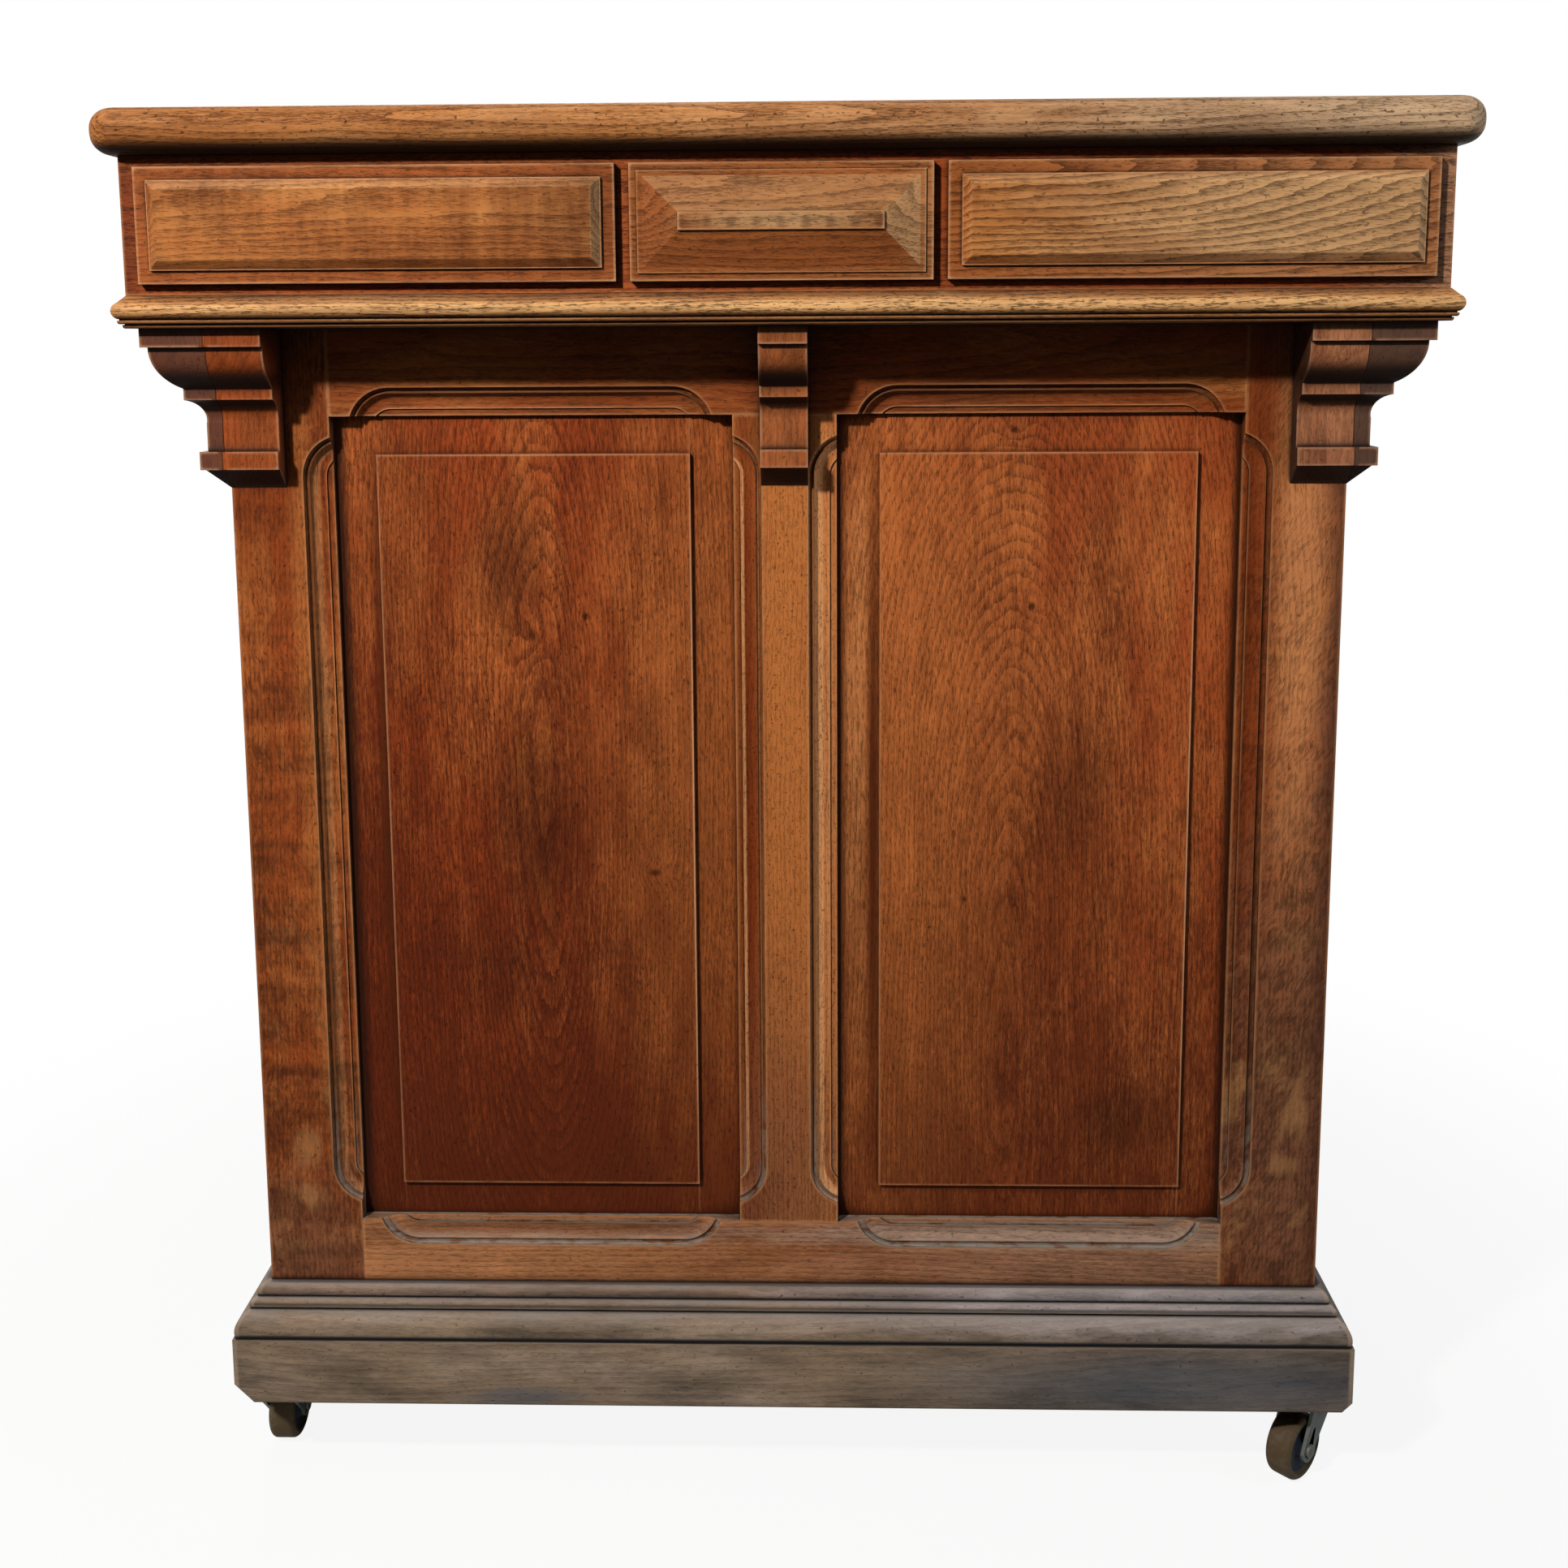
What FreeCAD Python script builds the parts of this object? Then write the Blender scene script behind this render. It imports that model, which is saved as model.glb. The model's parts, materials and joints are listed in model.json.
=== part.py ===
import FreeCAD
import Part
import Sketcher
import math
import os
import re

# Oak shop counter on castors, in millimetres. X runs to the right, Y from the customer's side to the
# shopkeeper's side and Z up, with the origin on the floor under the middle of the counter top.
# Depths in y are measured back from the front face of the corner posts.

SIZES = {
    # carcass frame
    "body_width": 800.0,
    "body_depth": 475.0,
    "body_height": 815.5,
    "post_width": 72.6,
    "post_depth": 60.0,
    "muntin_width": 74.6,
    "rail_thickness": 26.0,
    "top_rail_height": 63.0,
    "bottom_rail_height": 80.0,
    "bottom_rail_rise": 58.5,
    "rear_rail_thickness": 22.0,
    "tenon_length": 25.0,
    "tenon_thickness": 9.0,
    "tenon_shoulder": 12.0,
    # panels in their grooves
    "panel_thickness": 8.0,
    "panel_setback": 11.0,
    "panel_clearance": 0.2,
    "panel_gap": 1.0,
    "groove_depth": 9.0,
    "field_raise": 3.6,
    "field_margin": 31.0,
    "field_margin_top": 28.0,
    "field_margin_bottom": 26.0,
    # stopped moulding on the edges of the openings
    "mould_width": 20.5,
    "mould_quirk": 2.2,
    "mould_bead": 4.2,
    "mould_ovolo_start": 3.4,
    "mould_ovolo_end": 6.2,
    "mould_fillet": 5.0,
    "mould_depth": 7.4,
    "mould_stop": 15.0,
    "mould_runout": 30.0,
    # deck, cornice and frieze
    "deck_thickness": 22.0,
    "deck_overhang": 34.0,
    "cornice_projection": 57.2,
    "cornice_neck": 51.5,
    "cornice_foot": 50.6,
    "cornice_bead_height": 2.4,
    "cornice_bead_pitch": 3.0,
    "cornice_bead_step": 2.6,
    "cornice_nose_bottom": 6.4,
    "cornice_nose_top": 17.4,
    "frieze_overhang": 49.5,
    "frieze_thickness": 20.0,
    "frieze_height": 94.0,
    # applied frieze panels
    "plaque_height": 78.6,
    "plaque_rise": 7.4,
    "plaque_gap": 9.5,
    "plaque_long": 326.0,
    "plaque_short": 204.6,
    "plaque_thickness": 6.0,
    "plaque_border": 9.3,
    "plaque_ledge": 0.5,
    "plaque_ledge_rise": 2.0,
    "plaque_slope": 5.8,
    "plaque_slope_rise": 4.5,
    "centre_border": 5.2,
    "centre_ledge": 3.8,
    "centre_ledge_rise": 1.2,
    "hip_run": 24.0,
    "hip_rise": 6.5,
    "bar_rise": 1.7,
    "bar_inset": 0.3,
    # counter top
    "top_thickness": 31.0,
    "top_overhang": 67.0,
    "rear_overhang": 30.0,
    "top_nose_radius": 14.0,
    "top_corner_radius": 20.0,
    "top_front_board": 300.0,
    "top_tongue": 8.0,
    # corbels
    "corbel_width": 40.0,
    "corbel_centre_width": 34.0,
    "corbel_projection": 44.0,
    "corbel_cap_height": 13.0,
    "corbel_cap_step": 4.0,
    "corbel_ovolo_height": 29.0,
    "corbel_waist": 23.0,
    "corbel_fillet_height": 8.0,
    "corbel_cavetto_height": 17.0,
    "corbel_neck": 11.7,
    "corbel_neck_height": 20.0,
    "corbel_foot": 16.3,
    "corbel_foot_height": 13.0,
    "corbel_toe_step": 2.8,
    "corbel_toe_height": 14.0,
    # plinth
    "plinth_projection": 24.5,
    "plinth_board_height": 52.5,
    "plinth_quirk": 2.2,
    "plinth_torus_height": 19.5,
    "plinth_torus_top": 13.0,
    "plinth_groove": 11.5,
    "plinth_groove_height": 1.2,
    "plinth_bead": 13.8,
    "plinth_bead_height": 6.3,
    "plinth_cap": 9.5,
    "plinth_cap_step": 1.2,
    "plinth_cap_height": 9.0,
    "plinth_lip": 4.5,
    "plinth_toe": 3.0,
    "wear_left": 16.0,
    "wear_right": 9.0,
    # inside boards
    "board_thickness": 18.0,
    "bottom_board_rise": 82.0,
    "housing_depth": 8.0,
    "shelf_rise": 431.5,
    "shelf_setback": 12.0,
    "shelf_clearance": 0.5,
    "batten_height": 28.0,
    "batten_thickness": 20.0,
    # drawers
    "divider_thickness": 18.0,
    "drawer_length": 430.0,
    "drawer_front_thickness": 18.0,
    "drawer_clearance": 1.0,
    "drawer_top_clearance": 2.0,
    "drawer_side_thickness": 10.0,
    "drawer_side_drop": 12.0,
    "drawer_bottom_thickness": 5.0,
    "drawer_bottom_rise": 6.0,
    "drawer_bottom_housing": 4.0,
    "knob_diameter": 28.0,
    "knob_projection": 25.0,
    "knob_crown_diameter": 8.0,
    "knob_neck_diameter": 13.0,
    "knob_neck_length": 9.0,
    "knob_spigot_diameter": 10.0,
    "knob_spigot_length": 12.0,
    "knob_spacing": 160.0,
    # castors
    "castor_height": 68.5,
    "castor_outset": 5.0,
    "castor_setback": 20.0,
    "castor_trail": 22.0,
    "plate_size": 38.0,
    "plate_thickness": 3.0,
    "plate_corner_radius": 4.0,
    "race_diameter": 26.0,
    "race_depth": 5.0,
    "swivel_gap": 0.3,
    "king_pin_diameter": 8.0,
    "pin_clearance": 0.05,
    "pin_head_diameter": 14.0,
    "pin_head_height": 2.0,
    "crown_diameter": 32.0,
    "crown_depth": 7.0,
    "fork_bridge": 4.5,
    "fork_reach_front": 13.0,
    "fork_reach_rear": 16.0,
    "fork_arm": 2.5,
    "fork_boss_radius": 9.0,
    "hub_play": 0.2,
    "wheel_diameter": 50.0,
    "wheel_width": 21.0,
    "wheel_edge": 4.5,
    "wheel_rim": 6.0,
    "wheel_dish": 3.0,
    "hub_diameter": 16.0,
    "hub_width": 22.6,
    "axle_diameter": 6.0,
    "axle_head_diameter": 10.0,
    "axle_head": 2.0,
    "screw_spacing": 25.0,
    "screw_diameter": 3.6,
    "screw_head_diameter": 7.2,
    "screw_head_height": 2.0,
    "screw_length": 22.0,
    "turn_front_left": 0.0,
    "turn_front_right": 135.0,
    "turn_rear_left": 25.0,
    "turn_rear_right": -40.0,
    # how far a cutter stands past the face that it cuts
    "cutter_margin": 2.0,
}

# Radius of a bowed edge as a share of its chord
QUARTER_ROUND = 0.7072
FULL_BEAD = 0.56
SOFT_OVOLO = 0.85
LEAN_OVOLO = 0.95

# Planes and levels, as expressions on the sizes
HALF = "(body_width / 2)"
FRONT = "((top_overhang - rear_overhang - body_depth) / 2)"
BASE = "castor_height"
DECK = "(castor_height + body_height)"
FRIEZE = f"({DECK} + deck_thickness)"
TOP = f"({FRIEZE} + frieze_height)"
RAIL_BASE = f"({BASE} + bottom_rail_rise)"
OPEN_BOTTOM = f"({RAIL_BASE} + bottom_rail_height)"
OPEN_TOP = f"({DECK} - top_rail_height)"
OPEN_LEFT = f"(post_width - {HALF})"
OPEN_RIGHT = "(-muntin_width / 2)"
SIDE_FRONT = "post_depth"
SIDE_REAR = "(body_depth - post_depth)"
GROOVE_FRONT = "(panel_setback - panel_clearance)"
GROOVE_REAR = "(panel_setback + panel_thickness + panel_clearance)"
TENON_REAR = f"({GROOVE_FRONT} + tenon_thickness)"
BOARD = f"({BASE} + bottom_board_rise)"
SHELF = f"({BASE} + shelf_rise)"
WHEEL_RADIUS = "(wheel_diameter / 2)"

doc = FreeCAD.newDocument("shop_counter")
sheet = doc.addObject("Spreadsheet::Sheet", "dims")
for row, (size_name, size_value) in enumerate(SIZES.items(), start=1):
    sheet.set(f"A{row}", size_name)
    sheet.set(f"B{row}", str(size_value))
    sheet.setAlias(f"B{row}", size_name)
doc.recompute()

nodes = []


def bound(text):
    """Expression text with every size name pointed at its cell of the sheet."""
    return re.sub(r"[a-z_]+", lambda word: f"dims.{word[0]}" if word[0] in SIZES else word[0], text)


def number(text):
    """Present value of an expression."""
    return float(sheet.evalExpression(bound(text)))


def bind(thing, **values):
    """Tie properties to expressions; a double underscore in a name stands for a dot."""
    for path, text in values.items():
        thing.setExpression(path.replace("__", "."), bound(text))


def node(label, thing):
    """Keep an object as a sub-part under the name of its file."""
    thing.Label = label
    nodes.append(thing)
    return thing


# Solids from boxes and booleans

def block(x, y, z):
    """Box between a low and a high expression on each axis, with y behind the front face."""
    box = doc.addObject("Part::Box", "block")
    bind(box, Length=f"{x[1]} - ({x[0]})", Width=f"{y[1]} - ({y[0]})", Height=f"{z[1]} - ({z[0]})")
    bind(box, Placement__Base__x=x[0], Placement__Base__y=f"{FRONT} + {y[0]}", Placement__Base__z=z[0])
    return box


def cut(base, *tools):
    """Take each tool away from a base in turn."""
    for tool in tools:
        piece = doc.addObject("Part::Cut", "cut")
        piece.Base = base
        piece.Tool = tool
        piece.Refine = True
        base = piece
    return base


def join(*solids):
    """One solid from several that meet."""
    piece = doc.addObject("Part::MultiFuse", "join")
    piece.Shapes = list(solids)
    piece.Refine = True
    return piece


def group(*solids):
    """Several separate solids kept together."""
    piece = doc.addObject("Part::Compound", "group")
    piece.Links = list(solids)
    return piece


def mirrored(thing):
    """The same piece on the other side of the middle plane."""
    piece = doc.addObject("Part::Mirroring", "mirrored")
    piece.Source = thing
    piece.Normal = FreeCAD.Vector(1, 0, 0)
    return piece


def pair(name, thing):
    """A left-hand piece and its mirror image on the right, as two sub-parts."""
    node(f"{name}_left", thing)
    node(f"{name}_right", mirrored(thing))


# Solids from sketches

PLANE_AXIS = {"YZ_Plane": 1, "XZ_Plane": -1, "XY_Plane": 1}


def new_body(name, y=FRONT):
    """Body whose own origin stands on the floor, at the front face unless y says otherwise."""
    body = doc.addObject("PartDesign::Body", name)
    bind(body, Placement__Base__y=y)
    return body


def new_sketch(body, plane, offset):
    """Sketch on one of the body's planes, moved along that plane's axis."""
    sketch = body.newObject("Sketcher::SketchObject", "outline")
    support = [item for item in body.Origin.OriginFeatures if item.Role == plane][0]
    sketch.AttachmentSupport = [(support, "")]
    sketch.MapMode = "FlatFace"
    sign = "" if PLANE_AXIS[plane] > 0 else "-1 * "
    bind(sketch, AttachmentOffset__Base__z=f"{sign}({offset})")
    return sketch


def pin_point(sketch, geometry, place, u, v):
    """Hold one point of a sketch at two expressions."""
    for kind, text in (("DistanceX", u), ("DistanceY", v)):
        index = sketch.addConstraint(Sketcher.Constraint(kind, -1, 1, geometry, place, number(text)))
        sketch.setExpression(f"Constraints[{index}]", bound(text))


def hold_radius(sketch, geometry, text):
    """Hold the radius of an arc or circle at an expression."""
    index = sketch.addConstraint(Sketcher.Constraint("Radius", geometry, number(text)))
    sketch.setExpression(f"Constraints[{index}]", bound(text))


def bowed_edge(start, end, bow):
    """Arc between two points; a positive bow has its centre on the left of the way along it."""
    along = end - start
    left = FreeCAD.Vector(-along.y, along.x, 0)
    rise = abs(bow) - math.sqrt(bow * bow - 0.25)
    middle = (start + end) * 0.5 - left * math.copysign(rise, bow)
    return Part.Arc(start, middle, end)


def draw_outline(sketch, points):
    """Closed outline; a third entry of a point bows the edge that arrives there."""
    spots = [FreeCAD.Vector(number(point[0]), number(point[1]), 0) for point in points]
    ends = []
    for at, point in enumerate(points):
        start, end = spots[at - 1], spots[at]
        if len(point) == 2:
            index = sketch.addGeometry(Part.LineSegment(start, end))
            ends.append((index, 1, 2))
            continue
        index = sketch.addGeometry(bowed_edge(start, end, point[2]))
        ends.append((index, 1, 2) if point[2] > 0 else (index, 2, 1))
        before = points[at - 1]
        chord = f"sqrt(({point[0]} - ({before[0]})) ^ 2 + ({point[1]} - ({before[1]})) ^ 2)"
        hold_radius(sketch, index, f"{chord} * {abs(point[2])}")
    for at, point in enumerate(points):
        index, _, finish = ends[at]
        follower, begin, _ = ends[(at + 1) % len(points)]
        sketch.addConstraint(Sketcher.Constraint("Coincident", index, finish, follower, begin))
        pin_point(sketch, index, finish, point[0], point[1])


def draw_circle(sketch, u, v, radius):
    """Circle about a point."""
    centre = FreeCAD.Vector(number(u), number(v), 0)
    index = sketch.addGeometry(Part.Circle(centre, FreeCAD.Vector(0, 0, 1), number(radius)))
    hold_radius(sketch, index, radius)
    pin_point(sketch, index, 3, u, v)


def pad(body, sketch, plane, length):
    """Grow a sketch along the positive axis of its plane."""
    feature = body.newObject("PartDesign::Pad", "pad")
    feature.Profile = sketch
    feature.Reversed = PLANE_AXIS[plane] < 0
    bind(feature, Length=length)
    doc.recompute()
    return feature


def carve(body, sketch, plane, length):
    """Cut a sketch along the positive axis of its plane, and see that it cut something."""
    before = body.Shape.Volume
    feature = body.newObject("PartDesign::Pocket", "pocket")
    feature.Profile = sketch
    feature.Reversed = PLANE_AXIS[plane] > 0
    bind(feature, Length=length)
    doc.recompute()
    if body.Shape.Volume >= before:
        raise RuntimeError(f"a pocket of {body.Name} cuts nothing")
    return feature


def prism(name, plane, points, start, end):
    """Body with one outline grown from a start to an end along its plane's axis."""
    body = new_body(name)
    sketch = new_sketch(body, plane, start)
    draw_outline(sketch, points)
    pad(body, sketch, plane, f"{end} - ({start})")
    return body


def carve_outline(body, plane, points, start, end):
    """Cut an outline out of a body between a start and an end along its plane's axis."""
    sketch = new_sketch(body, plane, start)
    draw_outline(sketch, points)
    carve(body, sketch, plane, f"{end} - ({start})")


def turn_outline(body, plane, points, axis, angle=360.0, backwards=False, offset="0"):
    """Turn an outline about one of its sketch's own axes."""
    sketch = new_sketch(body, plane, offset)
    draw_outline(sketch, points)
    feature = body.newObject("PartDesign::Revolution", "turned")
    feature.Profile = sketch
    feature.ReferenceAxis = (sketch, [axis])
    feature.Angle = angle
    feature.Reversed = backwards
    doc.recompute()


# Stopped moulding

def mould_run(name, length, turn, along, height, on_side):
    """Cutter for one stopped moulding: a straight stretch that turns off its edge in an arc at both ends.

    Its own origin is the centre of the first arc, with the wood above it and the depth along y.
    """
    body = doc.addObject("PartDesign::Body", name)
    inner = "(mould_runout - mould_width)"
    profile = [
        ("-cutter_margin", "mould_runout"),
        ("mould_quirk", "mould_runout"),
        ("mould_quirk", "mould_runout - mould_bead", -FULL_BEAD),
        ("mould_ovolo_start", "mould_runout - mould_bead"),
        ("mould_ovolo_end", f"{inner} + mould_fillet", -SOFT_OVOLO),
        ("mould_depth", f"{inner} + mould_fillet"),
        ("mould_depth", f"{inner} - cutter_margin"),
        ("-cutter_margin", f"{inner} - cutter_margin"),
    ]
    straight = new_sketch(body, "YZ_Plane", "0")
    draw_outline(straight, profile)
    pad(body, straight, "YZ_Plane", length)
    turn_outline(body, "YZ_Plane", profile, "H_Axis", 90.0, True)
    turn_outline(body, "YZ_Plane", profile, "H_Axis", 90.0, False, length)
    spin = FreeCAD.Rotation(FreeCAD.Vector(0, 1, 0), turn)
    if on_side:
        spin = FreeCAD.Rotation(FreeCAD.Vector(0, 0, 1), -90).multiply(spin)
    body.Placement = FreeCAD.Placement(FreeCAD.Vector(), spin)
    bind(body, Placement__Base__z=height)
    if on_side:
        bind(body, Placement__Base__x=f"-{HALF}", Placement__Base__y=f"{FRONT} - ({along})")
    else:
        bind(body, Placement__Base__x=along, Placement__Base__y=FRONT)
    return body


def mould_runs(name, low, high, on_side=False):
    """Cutters for the top, bottom, low and high edge of a panel opening."""
    reach = "(mould_stop + sqrt(mould_runout ^ 2 - (mould_runout - mould_width) ^ 2))"
    drop = "(mould_runout - mould_width)"
    across = f"{high} - ({low}) - 2 * {reach}"
    upright = f"{OPEN_TOP} - {OPEN_BOTTOM} - 2 * {reach}"
    edges = {
        "top": (across, 0, f"{low} + {reach}", f"{OPEN_TOP} - {drop}"),
        "bottom": (across, 180, f"{high} - {reach}", f"{OPEN_BOTTOM} + {drop}"),
        "low": (upright, -90, f"{low} + {drop}", f"{OPEN_BOTTOM} + {reach}"),
        "high": (upright, 90, f"{high} - {drop}", f"{OPEN_TOP} - {reach}"),
    }
    return {edge: mould_run(f"{name}_{edge}", *place, on_side) for edge, place in edges.items()}


front_runs = mould_runs("front_mould", OPEN_LEFT, OPEN_RIGHT)
side_runs = mould_runs("side_mould", f"-{SIDE_REAR}", f"-{SIDE_FRONT}", True)

# Castor places and the screws that fix their plates

CORNERS = {
    "front_left": ("-", "castor_setback"),
    "front_right": ("", "castor_setback"),
    "rear_left": ("-", "(body_depth - castor_setback)"),
    "rear_right": ("", "(body_depth - castor_setback)"),
}


def castor_x(corner):
    """Distance of a king pin from the middle plane."""
    return f"{CORNERS[corner][0]}1 * ({HALF} + castor_outset)"


def castor_y(corner):
    """Place of a king pin behind the front face."""
    return CORNERS[corner][1]


def screw(x, y):
    """Countersunk wood screw with its head flush under a castor plate."""
    body = new_body("screw", f"{FRONT} + {y}")
    bind(body, Placement__Base__x=x, Placement__Base__z=f"{BASE} - plate_thickness")
    points = [
        ("0", "0"),
        ("screw_head_diameter / 2", "0"),
        ("screw_diameter / 2", "screw_head_height"),
        ("screw_diameter / 2", "screw_length"),
        ("0", "screw_length"),
    ]
    turn_outline(body, "XZ_Plane", points, "V_Axis")
    return body


def corner_screws(corner):
    """Four screws round a king pin."""
    half = "screw_spacing / 2"
    offsets = [(a, b) for a in ("-", "+") for b in ("-", "+")]
    return [screw(f"{castor_x(corner)} {a} {half}", f"{castor_y(corner)} {b} {half}") for a, b in offsets]


screws = {corner: corner_screws(corner) for corner in CORNERS}
node("castor_screws", group(*[item for four in screws.values() for item in four]))

# Corner posts

LEFT_POST = (f"-{HALF}", OPEN_LEFT)
POST_HEIGHT = (BASE, DECK)
GROOVE = (GROOVE_FRONT, GROOVE_REAR)
GROOVE_HEIGHT = (f"{OPEN_BOTTOM} - groove_depth", f"{OPEN_TOP} + groove_depth")
TENON = (GROOVE_FRONT, TENON_REAR)
SIDE_GROOVE = (f"{GROOVE_FRONT} - {HALF}", f"{GROOVE_REAR} - {HALF}")
SIDE_TENON = (f"{GROOVE_FRONT} - {HALF}", f"{TENON_REAR} - {HALF}")
TOP_TENON = (f"{OPEN_TOP} + tenon_shoulder", f"{DECK} - tenon_shoulder")
BOTTOM_TENON = (f"{RAIL_BASE} + tenon_shoulder", f"{OPEN_BOTTOM} - tenon_shoulder")
REAR_TENON = (f"{BASE} + tenon_shoulder", f"{BOARD} - tenon_shoulder")
REAR_RAIL = ("body_depth - rear_rail_thickness", "body_depth")
REAR_RAIL_TENON = (f"{REAR_RAIL[0]} + tenon_shoulder / 2", f"{REAR_RAIL[1]} - tenon_shoulder / 2")

front_blank = block(LEFT_POST, ("0", "post_depth"), POST_HEIGHT)
rear_blank = block(LEFT_POST, (SIDE_REAR, "body_depth"), POST_HEIGHT)
blanks = [front_blank, rear_blank, mirrored(front_blank), mirrored(rear_blank)]

front_tenon = (f"{OPEN_LEFT} - tenon_length", OPEN_LEFT)
side_front_tenon = (f"{SIDE_FRONT} - tenon_length", SIDE_FRONT)
side_rear_tenon = (SIDE_REAR, f"{SIDE_REAR} + tenon_length")
front_post_cuts = [
    block((f"{OPEN_LEFT} - groove_depth", OPEN_LEFT), GROOVE, GROOVE_HEIGHT),
    block(SIDE_GROOVE, (f"{SIDE_FRONT} - groove_depth", SIDE_FRONT), GROOVE_HEIGHT),
    block(front_tenon, TENON, TOP_TENON),
    block(front_tenon, TENON, BOTTOM_TENON),
    block(SIDE_TENON, side_front_tenon, TOP_TENON),
    block(SIDE_TENON, side_front_tenon, BOTTOM_TENON),
    front_runs["low"],
    side_runs["high"],
]
rear_post_cuts = [
    block(SIDE_GROOVE, (SIDE_REAR, f"{SIDE_REAR} + groove_depth"), GROOVE_HEIGHT),
    block(SIDE_TENON, side_rear_tenon, TOP_TENON),
    block(SIDE_TENON, side_rear_tenon, BOTTOM_TENON),
    block(front_tenon, REAR_RAIL_TENON, REAR_TENON),
    side_runs["low"],
]
pair("corner_post_front", cut(front_blank, *front_post_cuts, *screws["front_left"]))
pair("corner_post_rear", cut(rear_blank, *rear_post_cuts, *screws["rear_left"]))

# Bottom board, shelf and the rail under the rear edge

INNER_SIDE = f"({HALF} - rail_thickness)"
board_half = f"({INNER_SIDE} + housing_depth)"
bottom_board = block(
    (f"-{board_half}", board_half),
    ("rail_thickness - housing_depth", "body_depth"),
    (BOARD, f"{BOARD} + board_thickness"),
)
node("bottom_board", cut(bottom_board, *blanks))

shelf_half = f"({HALF} - panel_setback - panel_thickness - shelf_clearance)"
shelf = block(
    (f"-{shelf_half}", shelf_half),
    ("rail_thickness", "body_depth - shelf_setback"),
    (SHELF, f"{SHELF} + board_thickness"),
)
node("shelf", cut(shelf, *blanks))
batten = block(
    (OPEN_LEFT, f"{OPEN_LEFT} + batten_thickness"),
    ("rail_thickness", "body_depth - shelf_setback"),
    (f"{SHELF} - batten_height", SHELF),
)
node("shelf_battens", group(batten, mirrored(batten)))

rear_tenon = block(
    (f"{OPEN_LEFT} - tenon_length", f"tenon_length - {OPEN_LEFT}"), REAR_RAIL_TENON, REAR_TENON
)
rear_rail = block((OPEN_LEFT, f"-1 * {OPEN_LEFT}"), REAR_RAIL, (BASE, BOARD))
node("rear_rail", join(rear_rail, rear_tenon))

# Front frame

FRONT_SPAN = (OPEN_LEFT, f"-1 * {OPEN_LEFT}")
TENON_SPAN = (f"{OPEN_LEFT} - tenon_length", f"tenon_length - {OPEN_LEFT}")
RAIL_DEPTH = ("0", "rail_thickness")
MUNTIN_TENON = (f"tenon_shoulder + {OPEN_RIGHT}", f"-1 * {OPEN_RIGHT} - tenon_shoulder")


def front_rail(height, tenon_height, groove_height, mortise_height, runs):
    """Rail between the front posts, grooved for both panels and mortised for the muntin."""
    solid = join(block(FRONT_SPAN, RAIL_DEPTH, height), block(TENON_SPAN, TENON, tenon_height))
    groove = block(FRONT_SPAN, GROOVE, groove_height)
    mortise = block(MUNTIN_TENON, TENON, mortise_height)
    return cut(solid, groove, mortise, runs, mirrored(runs))


node("front_rail_top", front_rail(
    (OPEN_TOP, DECK),
    TOP_TENON,
    (OPEN_TOP, f"{OPEN_TOP} + groove_depth"),
    (OPEN_TOP, f"{OPEN_TOP} + tenon_length"),
    front_runs["top"],
))
bottom_rail = front_rail(
    (RAIL_BASE, OPEN_BOTTOM),
    BOTTOM_TENON,
    (f"{OPEN_BOTTOM} - groove_depth", OPEN_BOTTOM),
    (f"{OPEN_BOTTOM} - tenon_length", OPEN_BOTTOM),
    front_runs["bottom"],
)
node("front_rail_bottom", cut(bottom_rail, bottom_board))

muntin_half = "muntin_width / 2"
muntin_groove = block((OPEN_RIGHT, f"{OPEN_RIGHT} + groove_depth"), GROOVE, (OPEN_BOTTOM, OPEN_TOP))
muntin = join(
    block((f"-{muntin_half}", muntin_half), RAIL_DEPTH, (OPEN_BOTTOM, OPEN_TOP)),
    block(MUNTIN_TENON, TENON, (f"{OPEN_BOTTOM} - tenon_length", f"{OPEN_TOP} + tenon_length")),
)
node("front_muntin", cut(
    muntin, muntin_groove, mirrored(muntin_groove), front_runs["high"], mirrored(front_runs["high"])
))

# Panels, standing in the grooves with room to move at their other edges

PANEL_HEIGHT = (f"{OPEN_BOTTOM} - groove_depth", f"{OPEN_TOP} + groove_depth - panel_gap")
FIELD_HEIGHT = (f"{OPEN_BOTTOM} + field_margin_bottom", f"{OPEN_TOP} - field_margin_top")
PANEL_DEPTH = ("panel_setback", "panel_setback + panel_thickness")
FIELD_DEPTH = ("panel_setback - field_raise", "panel_setback")


def tongue_span(low, high):
    """Reach of a panel into the grooves beyond a low and a high edge of its opening."""
    return (f"{low} - groove_depth + panel_gap", f"{high} + groove_depth - panel_gap")


def field_span(low, high):
    """Reach of the raised field between a low and a high edge of its opening."""
    return (f"{low} + field_margin", f"{high} - field_margin")


def from_side(depth):
    """A depth behind the left side of the carcass, as places on x."""
    return (f"{depth[0]} - {HALF}", f"{depth[1]} - {HALF}")


pair("front_panel", join(
    block(tongue_span(OPEN_LEFT, OPEN_RIGHT), PANEL_DEPTH, PANEL_HEIGHT),
    block(field_span(OPEN_LEFT, OPEN_RIGHT), FIELD_DEPTH, FIELD_HEIGHT),
))
pair("side_panel", join(
    block(from_side(PANEL_DEPTH), tongue_span(SIDE_FRONT, SIDE_REAR), PANEL_HEIGHT),
    block(from_side(FIELD_DEPTH), field_span(SIDE_FRONT, SIDE_REAR), FIELD_HEIGHT),
))

# Side frames

SIDE_SPAN = (SIDE_FRONT, SIDE_REAR)
SIDE_TENON_SPAN = (f"{SIDE_FRONT} - tenon_length", f"{SIDE_REAR} + tenon_length")


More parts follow.
